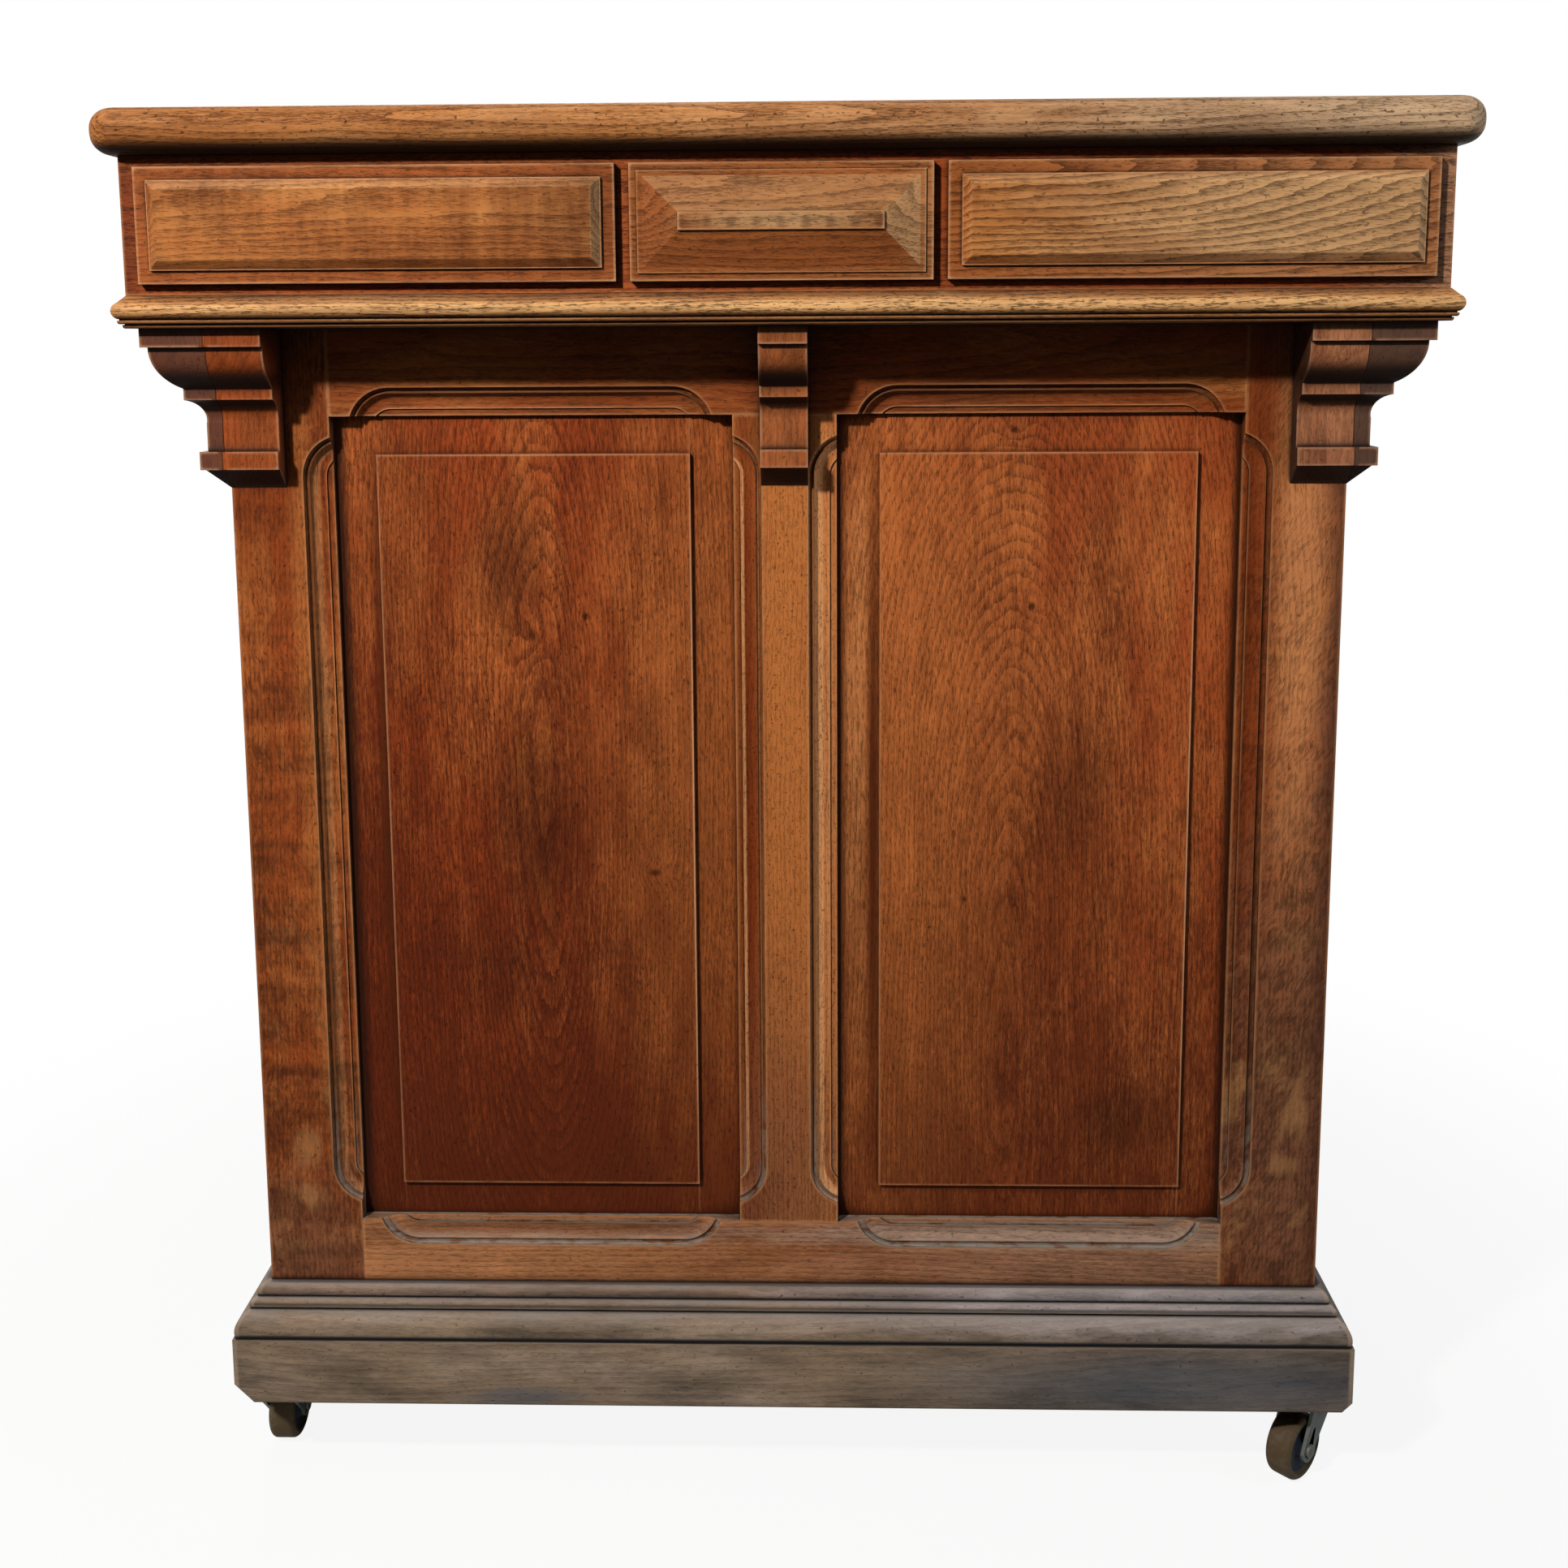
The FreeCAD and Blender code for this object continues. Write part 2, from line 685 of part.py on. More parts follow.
def side_rail(height, tenon_height, groove_height, run):
    """Rail between the two posts of the left side, grooved for the panel."""
    solid = join(
        block(from_side(RAIL_DEPTH), SIDE_SPAN, height),
        block(SIDE_TENON, SIDE_TENON_SPAN, tenon_height),
    )
    return cut(solid, block(SIDE_GROOVE, SIDE_SPAN, groove_height), run)


pair("side_rail_top", side_rail(
    (OPEN_TOP, DECK), TOP_TENON, (OPEN_TOP, f"{OPEN_TOP} + groove_depth"), side_runs["top"]
))
pair("side_rail_bottom", cut(
    side_rail(
        (RAIL_BASE, OPEN_BOTTOM),
        BOTTOM_TENON,
        (f"{OPEN_BOTTOM} - groove_depth", OPEN_BOTTOM),
        side_runs["bottom"],
    ),
    bottom_board,
))

# Plinth: moulded boards round the front and sides, mitred at the front corners

PLINTH_PROFILE = [
    ("0", "0"),
    ("plinth_projection - plinth_toe", "0"),
    ("plinth_projection", "plinth_toe", QUARTER_ROUND),
    ("plinth_projection", "plinth_board_height"),
    ("plinth_projection - plinth_quirk", "plinth_board_height"),
    ("plinth_torus_top", "plinth_board_height + plinth_torus_height", QUARTER_ROUND),
    ("plinth_groove", "plinth_board_height + plinth_torus_height"),
    ("plinth_groove", "plinth_board_height + plinth_torus_height + plinth_groove_height"),
    ("plinth_bead", "plinth_board_height + plinth_torus_height + plinth_groove_height"),
    (
        "plinth_cap",
        "plinth_board_height + plinth_torus_height + plinth_groove_height + plinth_bead_height",
        QUARTER_ROUND,
    ),
    (
        "plinth_cap - plinth_cap_step",
        "plinth_board_height + plinth_torus_height + plinth_groove_height + plinth_bead_height",
    ),
    (
        "plinth_lip",
        "plinth_board_height + plinth_torus_height + plinth_groove_height + plinth_bead_height"
        " + plinth_cap_height",
        QUARTER_ROUND,
    ),
    (
        "0",
        "plinth_board_height + plinth_torus_height + plinth_groove_height + plinth_bead_height"
        " + plinth_cap_height",
    ),
]


def raised(profile, level):
    """Profile of projection and height, moved up to a level."""
    return [(point[0], f"{level} + {point[1]}", *point[2:]) for point in profile]


def on_front(profile):
    """Profile that stands out from the front face, in y and z."""
    return [(f"-1 * ({point[0]})", point[1], *[-bow for bow in point[2:]]) for point in profile]


def on_left(profile):
    """Profile that stands out from the left side, in x and z."""
    return [(f"-1 * ({point[0]}) - {HALF}", point[1], *[-bow for bow in point[2:]]) for point in profile]


def mitred_front(name, profile, inner, outer, low, high):
    """Moulding along the front, cut at 45 degrees at both ends."""
    reach = f"({HALF} + {outer})"
    body = prism(name, "YZ_Plane", on_front(profile), f"-{reach}", reach)
    for sign in ("-", ""):
        corner = [
            (f"{sign}1 * {reach}", f"-1 * {outer}"),
            (f"{sign}1 * {reach}", f"-1 * {inner}"),
            (f"{sign}1 * ({HALF} + {inner})", f"-1 * {inner}"),
        ]
        carve_outline(body, "XY_Plane", corner, low, high)
    return body


def mitred_sides(name, profile, inner, outer, low, high):
    """Left-hand moulding from its mitre at the front to the rear of the carcass."""
    body = prism(name, "XZ_Plane", on_left(profile), f"-1 * {outer}", "body_depth")
    corner = [
        (f"-1 * ({HALF} + {outer})", f"-1 * {outer}"),
        (f"-1 * ({HALF} + {inner})", f"-1 * {outer}"),
        (f"-1 * ({HALF} + {inner})", f"-1 * {inner}"),
    ]
    carve_outline(body, "XY_Plane", corner, low, high)
    return body


def worn_corner(side, leg):
    """Cutter for a foot corner of the plinth that knocks have worn to a slope."""
    slope = doc.addObject("Part::Cylinder", "worn_corner")
    outward = FreeCAD.Rotation(FreeCAD.Vector(0, 0, 1), FreeCAD.Vector(side, -1, -1))
    slope.Placement = FreeCAD.Placement(FreeCAD.Vector(), outward)
    bind(slope, Radius=f"2 * {leg}", Height=leg)
    bind(slope, Placement__Base__x=f"{side} * ({HALF} + plinth_projection - {leg} / 3)")
    bind(slope, Placement__Base__y=f"{FRONT} - plinth_projection + {leg} / 3")
    bind(slope, Placement__Base__z=f"{BASE} + {leg} / 3")
    return slope


plinth = raised(PLINTH_PROFILE, BASE)
plinth_span = ("0", "plinth_projection", BASE, DECK)
worn_left, worn_right = worn_corner(-1, "wear_left"), worn_corner(1, "wear_right")
plinth_board = mitred_front("plinth_board", plinth, *plinth_span)
node("plinth_front", cut(plinth_board, worn_left, worn_right))
plinth_side = mitred_sides("plinth_side", plinth, *plinth_span)
plinth_side = cut(plinth_side, *screws["front_left"], *screws["rear_left"])
node("plinth_left", cut(plinth_side, worn_left))
node("plinth_right", cut(mirrored(plinth_side), worn_right))

# Deck under the drawers, edged by the cornice moulding

deck_half = f"({HALF} + deck_overhang)"
node("drawer_deck", block(
    (f"-{deck_half}", deck_half), ("-1 * deck_overhang", "body_depth"), (DECK, FRIEZE)
))
CORNICE_PROFILE = [
    ("deck_overhang", "0"),
    ("cornice_foot", "0"),
    ("cornice_neck", "cornice_bead_height", QUARTER_ROUND),
    ("cornice_foot", "cornice_bead_height"),
    ("cornice_foot", "cornice_bead_pitch"),
    ("cornice_foot + cornice_bead_step", "cornice_bead_pitch"),
    ("cornice_neck + cornice_bead_step", "cornice_bead_pitch + cornice_bead_height", QUARTER_ROUND),
    ("cornice_foot + cornice_bead_step", "cornice_bead_pitch + cornice_bead_height"),
    ("cornice_foot + cornice_bead_step", "cornice_nose_bottom"),
    ("cornice_neck + cornice_bead_step", "cornice_nose_bottom"),
    ("cornice_projection", "(cornice_nose_bottom + cornice_nose_top) / 2", LEAN_OVOLO),
    ("cornice_neck + cornice_bead_step", "cornice_nose_top", LEAN_OVOLO),
    ("frieze_overhang", "deck_thickness"),
    ("deck_overhang", "deck_thickness"),
]
cornice = raised(CORNICE_PROFILE, DECK)
cornice_span = ("deck_overhang", "cornice_projection", DECK, FRIEZE)
node("cornice_front", mitred_front("cornice_front", cornice, *cornice_span))
pair("cornice", mitred_sides("cornice_side", cornice, *cornice_span))

# Frieze boards and their applied panels

frieze_half = f"({HALF} + frieze_overhang)"
frieze_inner = f"({frieze_half} - frieze_thickness)"
FRIEZE_BACK = "(frieze_thickness - frieze_overhang)"
node("frieze_front", block(
    (f"-{frieze_half}", frieze_half), ("-1 * frieze_overhang", FRIEZE_BACK), (FRIEZE, TOP)
))
pair("frieze", block((f"-{frieze_half}", f"-{frieze_inner}"), (FRIEZE_BACK, "body_depth"), (FRIEZE, TOP)))

PLAQUE = f"({FRIEZE} + plaque_rise)"


def plaque_tier(x, inset, near, far):
    """Flat tier of an applied panel, set in from its edges, between two distances from the frieze."""
    return block(
        (f"{x[0]} + {inset}", f"{x[1]} - ({inset})"),
        (f"-1 * frieze_overhang - ({far})", f"-1 * frieze_overhang - ({near})"),
        (f"{PLAQUE} + {inset}", f"{PLAQUE} + plaque_height - ({inset})"),
    )


def plaque_slope(x, inset, run, near, far):
    """Field of an applied panel with four sloping edges."""
    wedge = doc.addObject("Part::Wedge", "slope")
    face = f"({inset} + {run})"
    bind(wedge, Xmin=f"{x[0]} + {face}", Xmax=f"{x[1]} - {face}")
    bind(wedge, X2min=f"{x[0]} + {inset}", X2max=f"{x[1]} - ({inset})")
    bind(wedge, Zmin=f"{PLAQUE} + {face}", Zmax=f"{PLAQUE} + plaque_height - {face}")
    bind(wedge, Z2min=f"{PLAQUE} + {inset}", Z2max=f"{PLAQUE} + plaque_height - ({inset})")
    bind(wedge, Ymin=f"{FRONT} - frieze_overhang - ({far})", Ymax=f"{FRONT} - frieze_overhang - ({near})")
    return wedge


LEDGE = "(plaque_thickness + plaque_ledge_rise)"
short_span = ("-1 * plaque_short / 2", "plaque_short / 2")
long_span = ("-1 * plaque_short / 2 - plaque_gap - plaque_long", "-1 * plaque_short / 2 - plaque_gap")
slope_inset = "(plaque_border + plaque_ledge)"
pair("frieze_panel", join(
    plaque_tier(long_span, "0", "0", "plaque_thickness"),
    plaque_tier(long_span, "plaque_border", "plaque_thickness", LEDGE),
    plaque_slope(long_span, slope_inset, "plaque_slope", LEDGE, f"{LEDGE} + plaque_slope_rise"),
))
hip_foot = "(plaque_thickness + centre_ledge_rise)"
hip_front = f"({hip_foot} + hip_rise)"
hip_inset = "(centre_border + centre_ledge)"
bar_edge = f"({hip_inset} + hip_run + bar_inset)"
node("frieze_panel_centre", join(
    plaque_tier(short_span, "0", "0", "plaque_thickness"),
    plaque_tier(short_span, "centre_border", "plaque_thickness", hip_foot),
    plaque_slope(short_span, hip_inset, "hip_run", hip_foot, hip_front),
    plaque_tier(short_span, bar_edge, hip_front, f"{hip_front} + bar_rise"),
))

# Counter top, one shape with a round nose, parted into two tongued boards

top_half = f"({HALF} + top_overhang)"
top_rear = "(body_depth + rear_overhang)"
side = f"({top_half} - top_corner_radius)"
front_edge, front_bend = "-1 * top_overhang", "top_corner_radius - top_overhang"
rear_bend = f"{top_rear} - top_corner_radius"
top_blank = prism("top_blank", "XY_Plane", [
    (f"-{side}", front_edge, QUARTER_ROUND),
    (side, front_edge),
    (top_half, front_bend, QUARTER_ROUND),
    (top_half, rear_bend),
    (side, top_rear, QUARTER_ROUND),
    (f"-{side}", top_rear),
    (f"-{top_half}", rear_bend, QUARTER_ROUND),
    (f"-{top_half}", front_bend),
], TOP, f"{TOP} + top_thickness")
rims = [at for at, edge in enumerate(top_blank.Shape.Edges, start=1) if edge.BoundBox.ZLength < 1e-6]
square_top = top_blank.Tip
nose = top_blank.newObject("PartDesign::Fillet", "nose")
nose.Base = (square_top, [f"Edge{at}" for at in rims])
bind(nose, Radius="min(top_nose_radius; top_thickness * 0.48)")
doc.recompute()

joint_line = "(top_front_board - top_overhang)"
tongue_low = f"({TOP} + (top_thickness - top_tongue) / 2)"
tongue_front = f"({joint_line} + top_tongue)"
past_front = "-1 * top_overhang - cutter_margin"
front_part = prism("front_part", "YZ_Plane", [
    (past_front, f"{TOP} - cutter_margin"),
    (joint_line, f"{TOP} - cutter_margin"),
    (joint_line, tongue_low),
    (tongue_front, tongue_low),
    (tongue_front, f"{tongue_low} + top_tongue"),
    (joint_line, f"{tongue_low} + top_tongue"),
    (joint_line, f"{TOP} + top_thickness + cutter_margin"),
    (past_front, f"{TOP} + top_thickness + cutter_margin"),
], f"-{top_half} - cutter_margin", f"{top_half} + cutter_margin")
top_front = doc.addObject("Part::Common", "top_front")
top_front.Base = top_blank
top_front.Tool = front_part
node("top_board_front", top_front)
node("top_board_rear", cut(top_blank, front_part))

# Corbels under the deck

CORBEL_PROFILE = [("0", "0"), ("corbel_projection", "0")]
corbel_steps = [
    ("corbel_cap_height", "corbel_projection", 0),
    ("0", "corbel_projection - corbel_cap_step", 0),
    ("corbel_ovolo_height", "corbel_waist", -LEAN_OVOLO),
    ("corbel_fillet_height", "corbel_waist", 0),
    ("corbel_cavetto_height", "corbel_neck", QUARTER_ROUND),
    ("corbel_neck_height", "corbel_neck", 0),
    ("0", "corbel_foot", 0),
    ("corbel_foot_height", "corbel_foot", 0),
    ("0", "corbel_foot - corbel_toe_step", 0),
    ("corbel_toe_height", "0", 0),
]
fallen = "0"
for fall, projection, bow in corbel_steps:
    fallen = f"{fallen} + {fall}"
    CORBEL_PROFILE.append((projection, f"-1 * ({fallen})", bow) if bow else (projection, f"-1 * ({fallen})"))
corbel = raised(CORBEL_PROFILE, DECK)

centre_half = "corbel_centre_width / 2"
node("corbel_centre", prism("corbel_centre", "YZ_Plane", on_front(corbel), f"-{centre_half}", centre_half))
pair("corbel_front", prism("corbel_front", "YZ_Plane", on_front(corbel), f"-{HALF}", f"corbel_width - {HALF}"))

corner_side = prism("corner_side", "XZ_Plane", on_left(corbel), "-1 * corbel_projection", "corbel_width")
corner_front = prism(
    "corner_front", "YZ_Plane", on_front(corbel), f"-{HALF} - corbel_projection", f"-{HALF}"
)
behind = block((f"-{HALF} - corbel_projection", f"-{HALF}"), ("0", "corbel_width"), (OPEN_BOTTOM, DECK))
corner_corbel = doc.addObject("Part::Common", "corner_corbel")
corner_corbel.Base = corner_side
corner_corbel.Tool = join(corner_front, behind)
pair("corbel_side", corner_corbel)

rear_corbel = prism("rear_corbel", "XZ_Plane", on_left(corbel), "body_depth - corbel_width", "body_depth")
node("corbels_rear", group(rear_corbel, mirrored(rear_corbel)))

# Drawers, drawn out at the rear between the frieze sides and two dividers

divider_middle = "((plaque_short + plaque_gap) / 2)"
divider_inner = f"({divider_middle} - divider_thickness / 2)"
divider_outer = f"({divider_middle} + divider_thickness / 2)"
divider = block((f"-{divider_outer}", f"-{divider_inner}"), (FRIEZE_BACK, "body_depth"), (FRIEZE, TOP))
node("drawer_dividers", group(divider, mirrored(divider)))

KNOB_LEVEL = f"({FRIEZE} + frieze_height / 2)"


def knob(x):
    """Turned knob with a spigot into the drawer front."""
    body = new_body("knob", f"{FRONT} + body_depth")
    bind(body, Placement__Base__x=x, Placement__Base__z=KNOB_LEVEL)
    head = "(knob_projection + knob_neck_length) / 2"
    turn_outline(body, "XY_Plane", [
        ("0", "-1 * knob_spigot_length"),
        ("knob_spigot_diameter / 2", "-1 * knob_spigot_length"),
        ("knob_spigot_diameter / 2", "0"),
        ("knob_neck_diameter / 2", "0"),
        ("knob_neck_diameter / 2", "knob_neck_length"),
        ("knob_diameter / 2", head, QUARTER_ROUND),
        ("knob_crown_diameter / 2", "knob_projection", LEAN_OVOLO),
        ("0", "knob_projection"),
    ], "V_Axis")
    return body


def drawer(name, low, high, knob_places):
    """Drawer between two faces of the frieze: front, box of three boards and a bottom, and knobs."""
    left = f"({low} + drawer_clearance)"
    right = f"({high} - drawer_clearance)"
    back = "(body_depth - drawer_length)"
    behind_front = "(body_depth - drawer_front_thickness)"
    side_top = f"({TOP} - drawer_side_drop)"
    floor = f"({FRIEZE} + drawer_bottom_rise)"
    floor_top = f"({floor} + drawer_bottom_thickness)"
    inner_left = f"({left} + drawer_side_thickness)"
    inner_right = f"({right} - drawer_side_thickness)"
    bottom = block(
        (f"{inner_left} - drawer_bottom_housing", f"{inner_right} + drawer_bottom_housing"),
        (back, f"{behind_front} + drawer_bottom_housing"),
        (floor, floor_top),
    )
    knobs = [knob(place) for place in knob_places]
    front = block((left, right), (behind_front, "body_depth"), (FRIEZE, f"{TOP} - drawer_top_clearance"))
    left_side = block((left, inner_left), (back, behind_front), (FRIEZE, side_top))
    right_side = block((inner_right, right), (back, behind_front), (FRIEZE, side_top))
    rear = block((inner_left, inner_right), (back, f"{back} + drawer_side_thickness"), (floor_top, side_top))
    node(f"{name}_front", cut(front, bottom, *knobs))
    node(f"{name}_box", group(cut(left_side, bottom), cut(right_side, bottom), rear, bottom))
    node(f"{name}_knobs", group(*knobs))


side_bay_middle = f"(({frieze_inner} + {divider_outer}) / 2)"
drawer("drawer_left", f"-{frieze_inner}", f"-{divider_outer}",
       [f"-{side_bay_middle} - knob_spacing / 2", f"-{side_bay_middle} + knob_spacing / 2"])
drawer("drawer_centre", f"-{divider_inner}", divider_inner, ["0"])
drawer("drawer_right", divider_outer, frieze_inner,
       [f"{side_bay_middle} - knob_spacing / 2", f"{side_bay_middle} + knob_spacing / 2"])

# Castors

RACE_LOW = f"({BASE} - plate_thickness - race_depth)"
CROWN_TOP = f"({RACE_LOW} - swivel_gap)"
CROWN_LOW = f"({CROWN_TOP} - crown_depth)"
ARM_INNER = "(hub_width / 2 + hub_play)"
ARM_OUTER = f"({ARM_INNER} + fork_arm)"


def castor_body(name, corner, ahead="0", height="0", turned=True):
    """Body on a castor's own axes, set back from its king pin along the trail."""
    turn = f"turn_{corner} * 1deg"
    body = doc.addObject("PartDesign::Body", name)
    if turned:
        body.Placement = FreeCAD.Placement(FreeCAD.Vector(), FreeCAD.Rotation(FreeCAD.Vector(0, 0, 1), 1))
        bind(body, Placement__Rotation__Angle=turn)
    bind(body, Placement__Base__x=f"{castor_x(corner)} - {ahead} * sin({turn})")
    bind(body, Placement__Base__y=f"{FRONT} + {castor_y(corner)} + {ahead} * cos({turn})")
    bind(body, Placement__Base__z=height)
    return body


def add_disc(body, diameter, low, high):
    """Round boss about the body's own upright axis."""
    sketch = new_sketch(body, "XY_Plane", low)
    draw_circle(sketch, "0", "0", f"{diameter} / 2")
    pad(body, sketch, "XY_Plane", f"{high} - ({low})")


def castor_plate(corner):
    """Square plate with its ball race and king pin, its screw holes countersunk."""
    body = castor_body("castor_plate", corner, turned=False)
    half, bend = "plate_size / 2", "(plate_size / 2 - plate_corner_radius)"
    sketch = new_sketch(body, "XY_Plane", f"{BASE} - plate_thickness")
    draw_outline(sketch, [
        (f"-{bend}", f"-{half}", QUARTER_ROUND),
        (bend, f"-{half}"),
        (half, f"-{bend}", QUARTER_ROUND),
        (half, bend),
        (bend, half, QUARTER_ROUND),
        (f"-{bend}", half),
        (f"-{half}", bend, QUARTER_ROUND),
        (f"-{half}", f"-{bend}"),
    ])
    pad(body, sketch, "XY_Plane", "plate_thickness")
    head_top = f"({CROWN_LOW} - swivel_gap)"
    add_disc(body, "race_diameter", RACE_LOW, f"{BASE} - plate_thickness")
    add_disc(body, "king_pin_diameter", head_top, RACE_LOW)
    add_disc(body, "pin_head_diameter", f"{head_top} - pin_head_height", head_top)
    return cut(body, *screws[corner])


def castor_fork(corner):
    """Pressed fork: two arms down to the axle, joined over the wheel under a round crown."""
    body = castor_body("castor_fork", corner)
    boss_front, boss_rear = "castor_trail - fork_boss_radius", "castor_trail + fork_boss_radius"
    sketch = new_sketch(body, "YZ_Plane", f"-{ARM_OUTER}")
    draw_outline(sketch, [
        ("-1 * fork_reach_front", f"{CROWN_LOW} + fork_bridge"),
        ("-1 * fork_reach_front", CROWN_LOW),
        (boss_front, WHEEL_RADIUS),
        ("castor_trail", f"{WHEEL_RADIUS} - fork_boss_radius", QUARTER_ROUND),
        (boss_rear, WHEEL_RADIUS, QUARTER_ROUND),
        ("fork_reach_rear", f"{CROWN_LOW} + fork_bridge"),
    ])
    draw_circle(sketch, "castor_trail", WHEEL_RADIUS, "axle_diameter / 2")
    pad(body, sketch, "YZ_Plane", f"2 * {ARM_OUTER}")
    gap = [(f"-{ARM_INNER}", "0"), (ARM_INNER, "0"), (ARM_INNER, CROWN_LOW), (f"-{ARM_INNER}", CROWN_LOW)]
    carve_outline(body, "XZ_Plane", gap, "-1 * wheel_diameter", "wheel_diameter")
    add_disc(body, "crown_diameter", CROWN_LOW, CROWN_TOP)
    hole = new_sketch(body, "XY_Plane", CROWN_LOW)
    draw_circle(hole, "0", "0", "king_pin_diameter / 2 + pin_clearance")
    carve(body, hole, "XY_Plane", "crown_depth")
    return body


def castor_axle(corner):
    """Riveted axle through the fork's arms."""
    body = castor_body("castor_axle", corner, "castor_trail", WHEEL_RADIUS)
    end = f"({ARM_OUTER} + axle_head)"
    turn_outline(body, "XY_Plane", [
        (f"-{end}", "0"),
        (end, "0"),
        (end, "axle_head_diameter / 2"),
        (ARM_OUTER, "axle_head_diameter / 2"),
        (ARM_OUTER, "axle_diameter / 2"),
        (f"-{ARM_OUTER}", "axle_diameter / 2"),
        (f"-{ARM_OUTER}", "axle_head_diameter / 2"),
        (f"-{end}", "axle_head_diameter / 2"),
    ], "H_Axis")
    return body


def castor_wheel(corner):
    """Wheel with rounded tread edges, dished sides and a hub that runs on the axle."""
    body = castor_body("castor_wheel", corner, "castor_trail", WHEEL_RADIUS)
    bore = "axle_diameter / 2 + pin_clearance"
    rim = "wheel_width / 2"
    tread = "(wheel_width / 2 - wheel_edge)"
    shoulder = f"({WHEEL_RADIUS} - wheel_edge)"
    inside = f"({WHEEL_RADIUS} - wheel_rim)"
    dish = "(wheel_width / 2 - wheel_dish)"
    hub = "hub_width / 2"
    turn_outline(body, "XY_Plane", [
        (f"-{hub}", bore),
        (hub, bore),
        (hub, "hub_diameter / 2"),
        (dish, "hub_diameter / 2 + wheel_dish"),
        (dish, inside),
        (rim, shoulder),
        (tread, WHEEL_RADIUS, QUARTER_ROUND),
        (f"-{tread}", WHEEL_RADIUS),
        (f"-{rim}", shoulder, QUARTER_ROUND),
        (f"-{dish}", inside),
        (f"-{dish}", "hub_diameter / 2 + wheel_dish"),
        (f"-{hub}", "hub_diameter / 2"),
    ], "H_Axis")
    return body


node("castor_plates", group(*[castor_plate(corner) for corner in CORNERS]))
for corner in CORNERS:
    node(f"castor_fork_{corner}", group(castor_fork(corner), castor_axle(corner)))
    node(f"castor_wheel_{corner}", castor_wheel(corner))

# Check and write

doc.recompute()
faults = [item.Label for item in doc.Objects if {"Invalid", "Error"} & set(item.State)]
faults += [item.Label for item in nodes if item.Shape.isNull() or not item.Shape.isValid()]
if faults:
    raise RuntimeError(f"failed: {sorted(set(faults))}")
os.makedirs("parts", exist_ok=True)
for item in nodes:
    item.Shape.exportStep(f"parts/{item.Label}.step")
    print(f"{item.Label}: {len(item.Shape.Solids)} solid(s), {item.Shape.Volume / 1000:.2f} cm3")
print(f"{len(nodes)} nodes")
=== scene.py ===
"""Looks of a panelled oak shop counter on castors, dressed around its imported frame."""

import json
import logging
import math
from collections.abc import Mapping
from dataclasses import dataclass, replace
from enum import Enum
from typing import Any, Union

import bpy
from mathutils import Matrix, Vector


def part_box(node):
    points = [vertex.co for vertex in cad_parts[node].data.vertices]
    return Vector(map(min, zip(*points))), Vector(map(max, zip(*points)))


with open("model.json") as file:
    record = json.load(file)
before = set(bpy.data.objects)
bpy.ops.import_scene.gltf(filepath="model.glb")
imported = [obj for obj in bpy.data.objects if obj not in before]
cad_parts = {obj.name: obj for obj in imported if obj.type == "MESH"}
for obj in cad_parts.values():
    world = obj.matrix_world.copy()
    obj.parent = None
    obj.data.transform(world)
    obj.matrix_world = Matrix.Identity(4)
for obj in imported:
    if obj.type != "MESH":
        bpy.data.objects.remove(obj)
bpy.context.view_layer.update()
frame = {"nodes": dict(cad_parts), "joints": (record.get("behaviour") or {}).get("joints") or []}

LOG = logging.getLogger("shop_counter")
PHOTO_SIDE = 1932

Triple = tuple[float, float, float]
Span = tuple[float, float]

OCCLUSION_SAMPLES = 8

# How far the worn edges, the painted shade in creases, grooves and recesses, and the seam lines reach, in
# metres
ARRIS_REACH = 0.0030
CREASE_REACH = 0.0045
GROOVE_REACH = 0.012
SHADOW_REACH = 0.055
RIM_SPAN: Span = (0.0015, 0.0055)
SEAM_CLEAR: Span = (0.002, 0.004)
SEAM_LINE: Span = (0.0006, 0.0002)
SEAM_GRIME = 0.6

# Heights between which a layer of the finish comes in, in metres
# the wood is darker towards the bottom between these two heights
LOW_DARKENING_SPAN: Span = (0.85, 0.15)
FLAME_SPAN: Span = (0.55, 0.30)
CHALK_TOP: Span = (0.34, 0.24)
CHALK_FOOT: Span = (0.165, 0.185)

# How squarely a face has to look along an axis to count as tilted, as a ledge, and so on; tilted faces get
# painted highlight or shade, undersides and lee sides painted shade
TILTED: Span = (0.06, 0.24)
DROOPED: Span = (-0.06, -0.24)
LEDGE: Span = (0.25, 0.95)
UNDERSIDE: Span = (-0.30, -0.75)
LEE_SIDE: Span = (-0.50, -0.90)

# Reach of a mark, in its own sizes, at which it is gone and at which it is full
MARK_SPAN: Span = (1.1, 0.15)


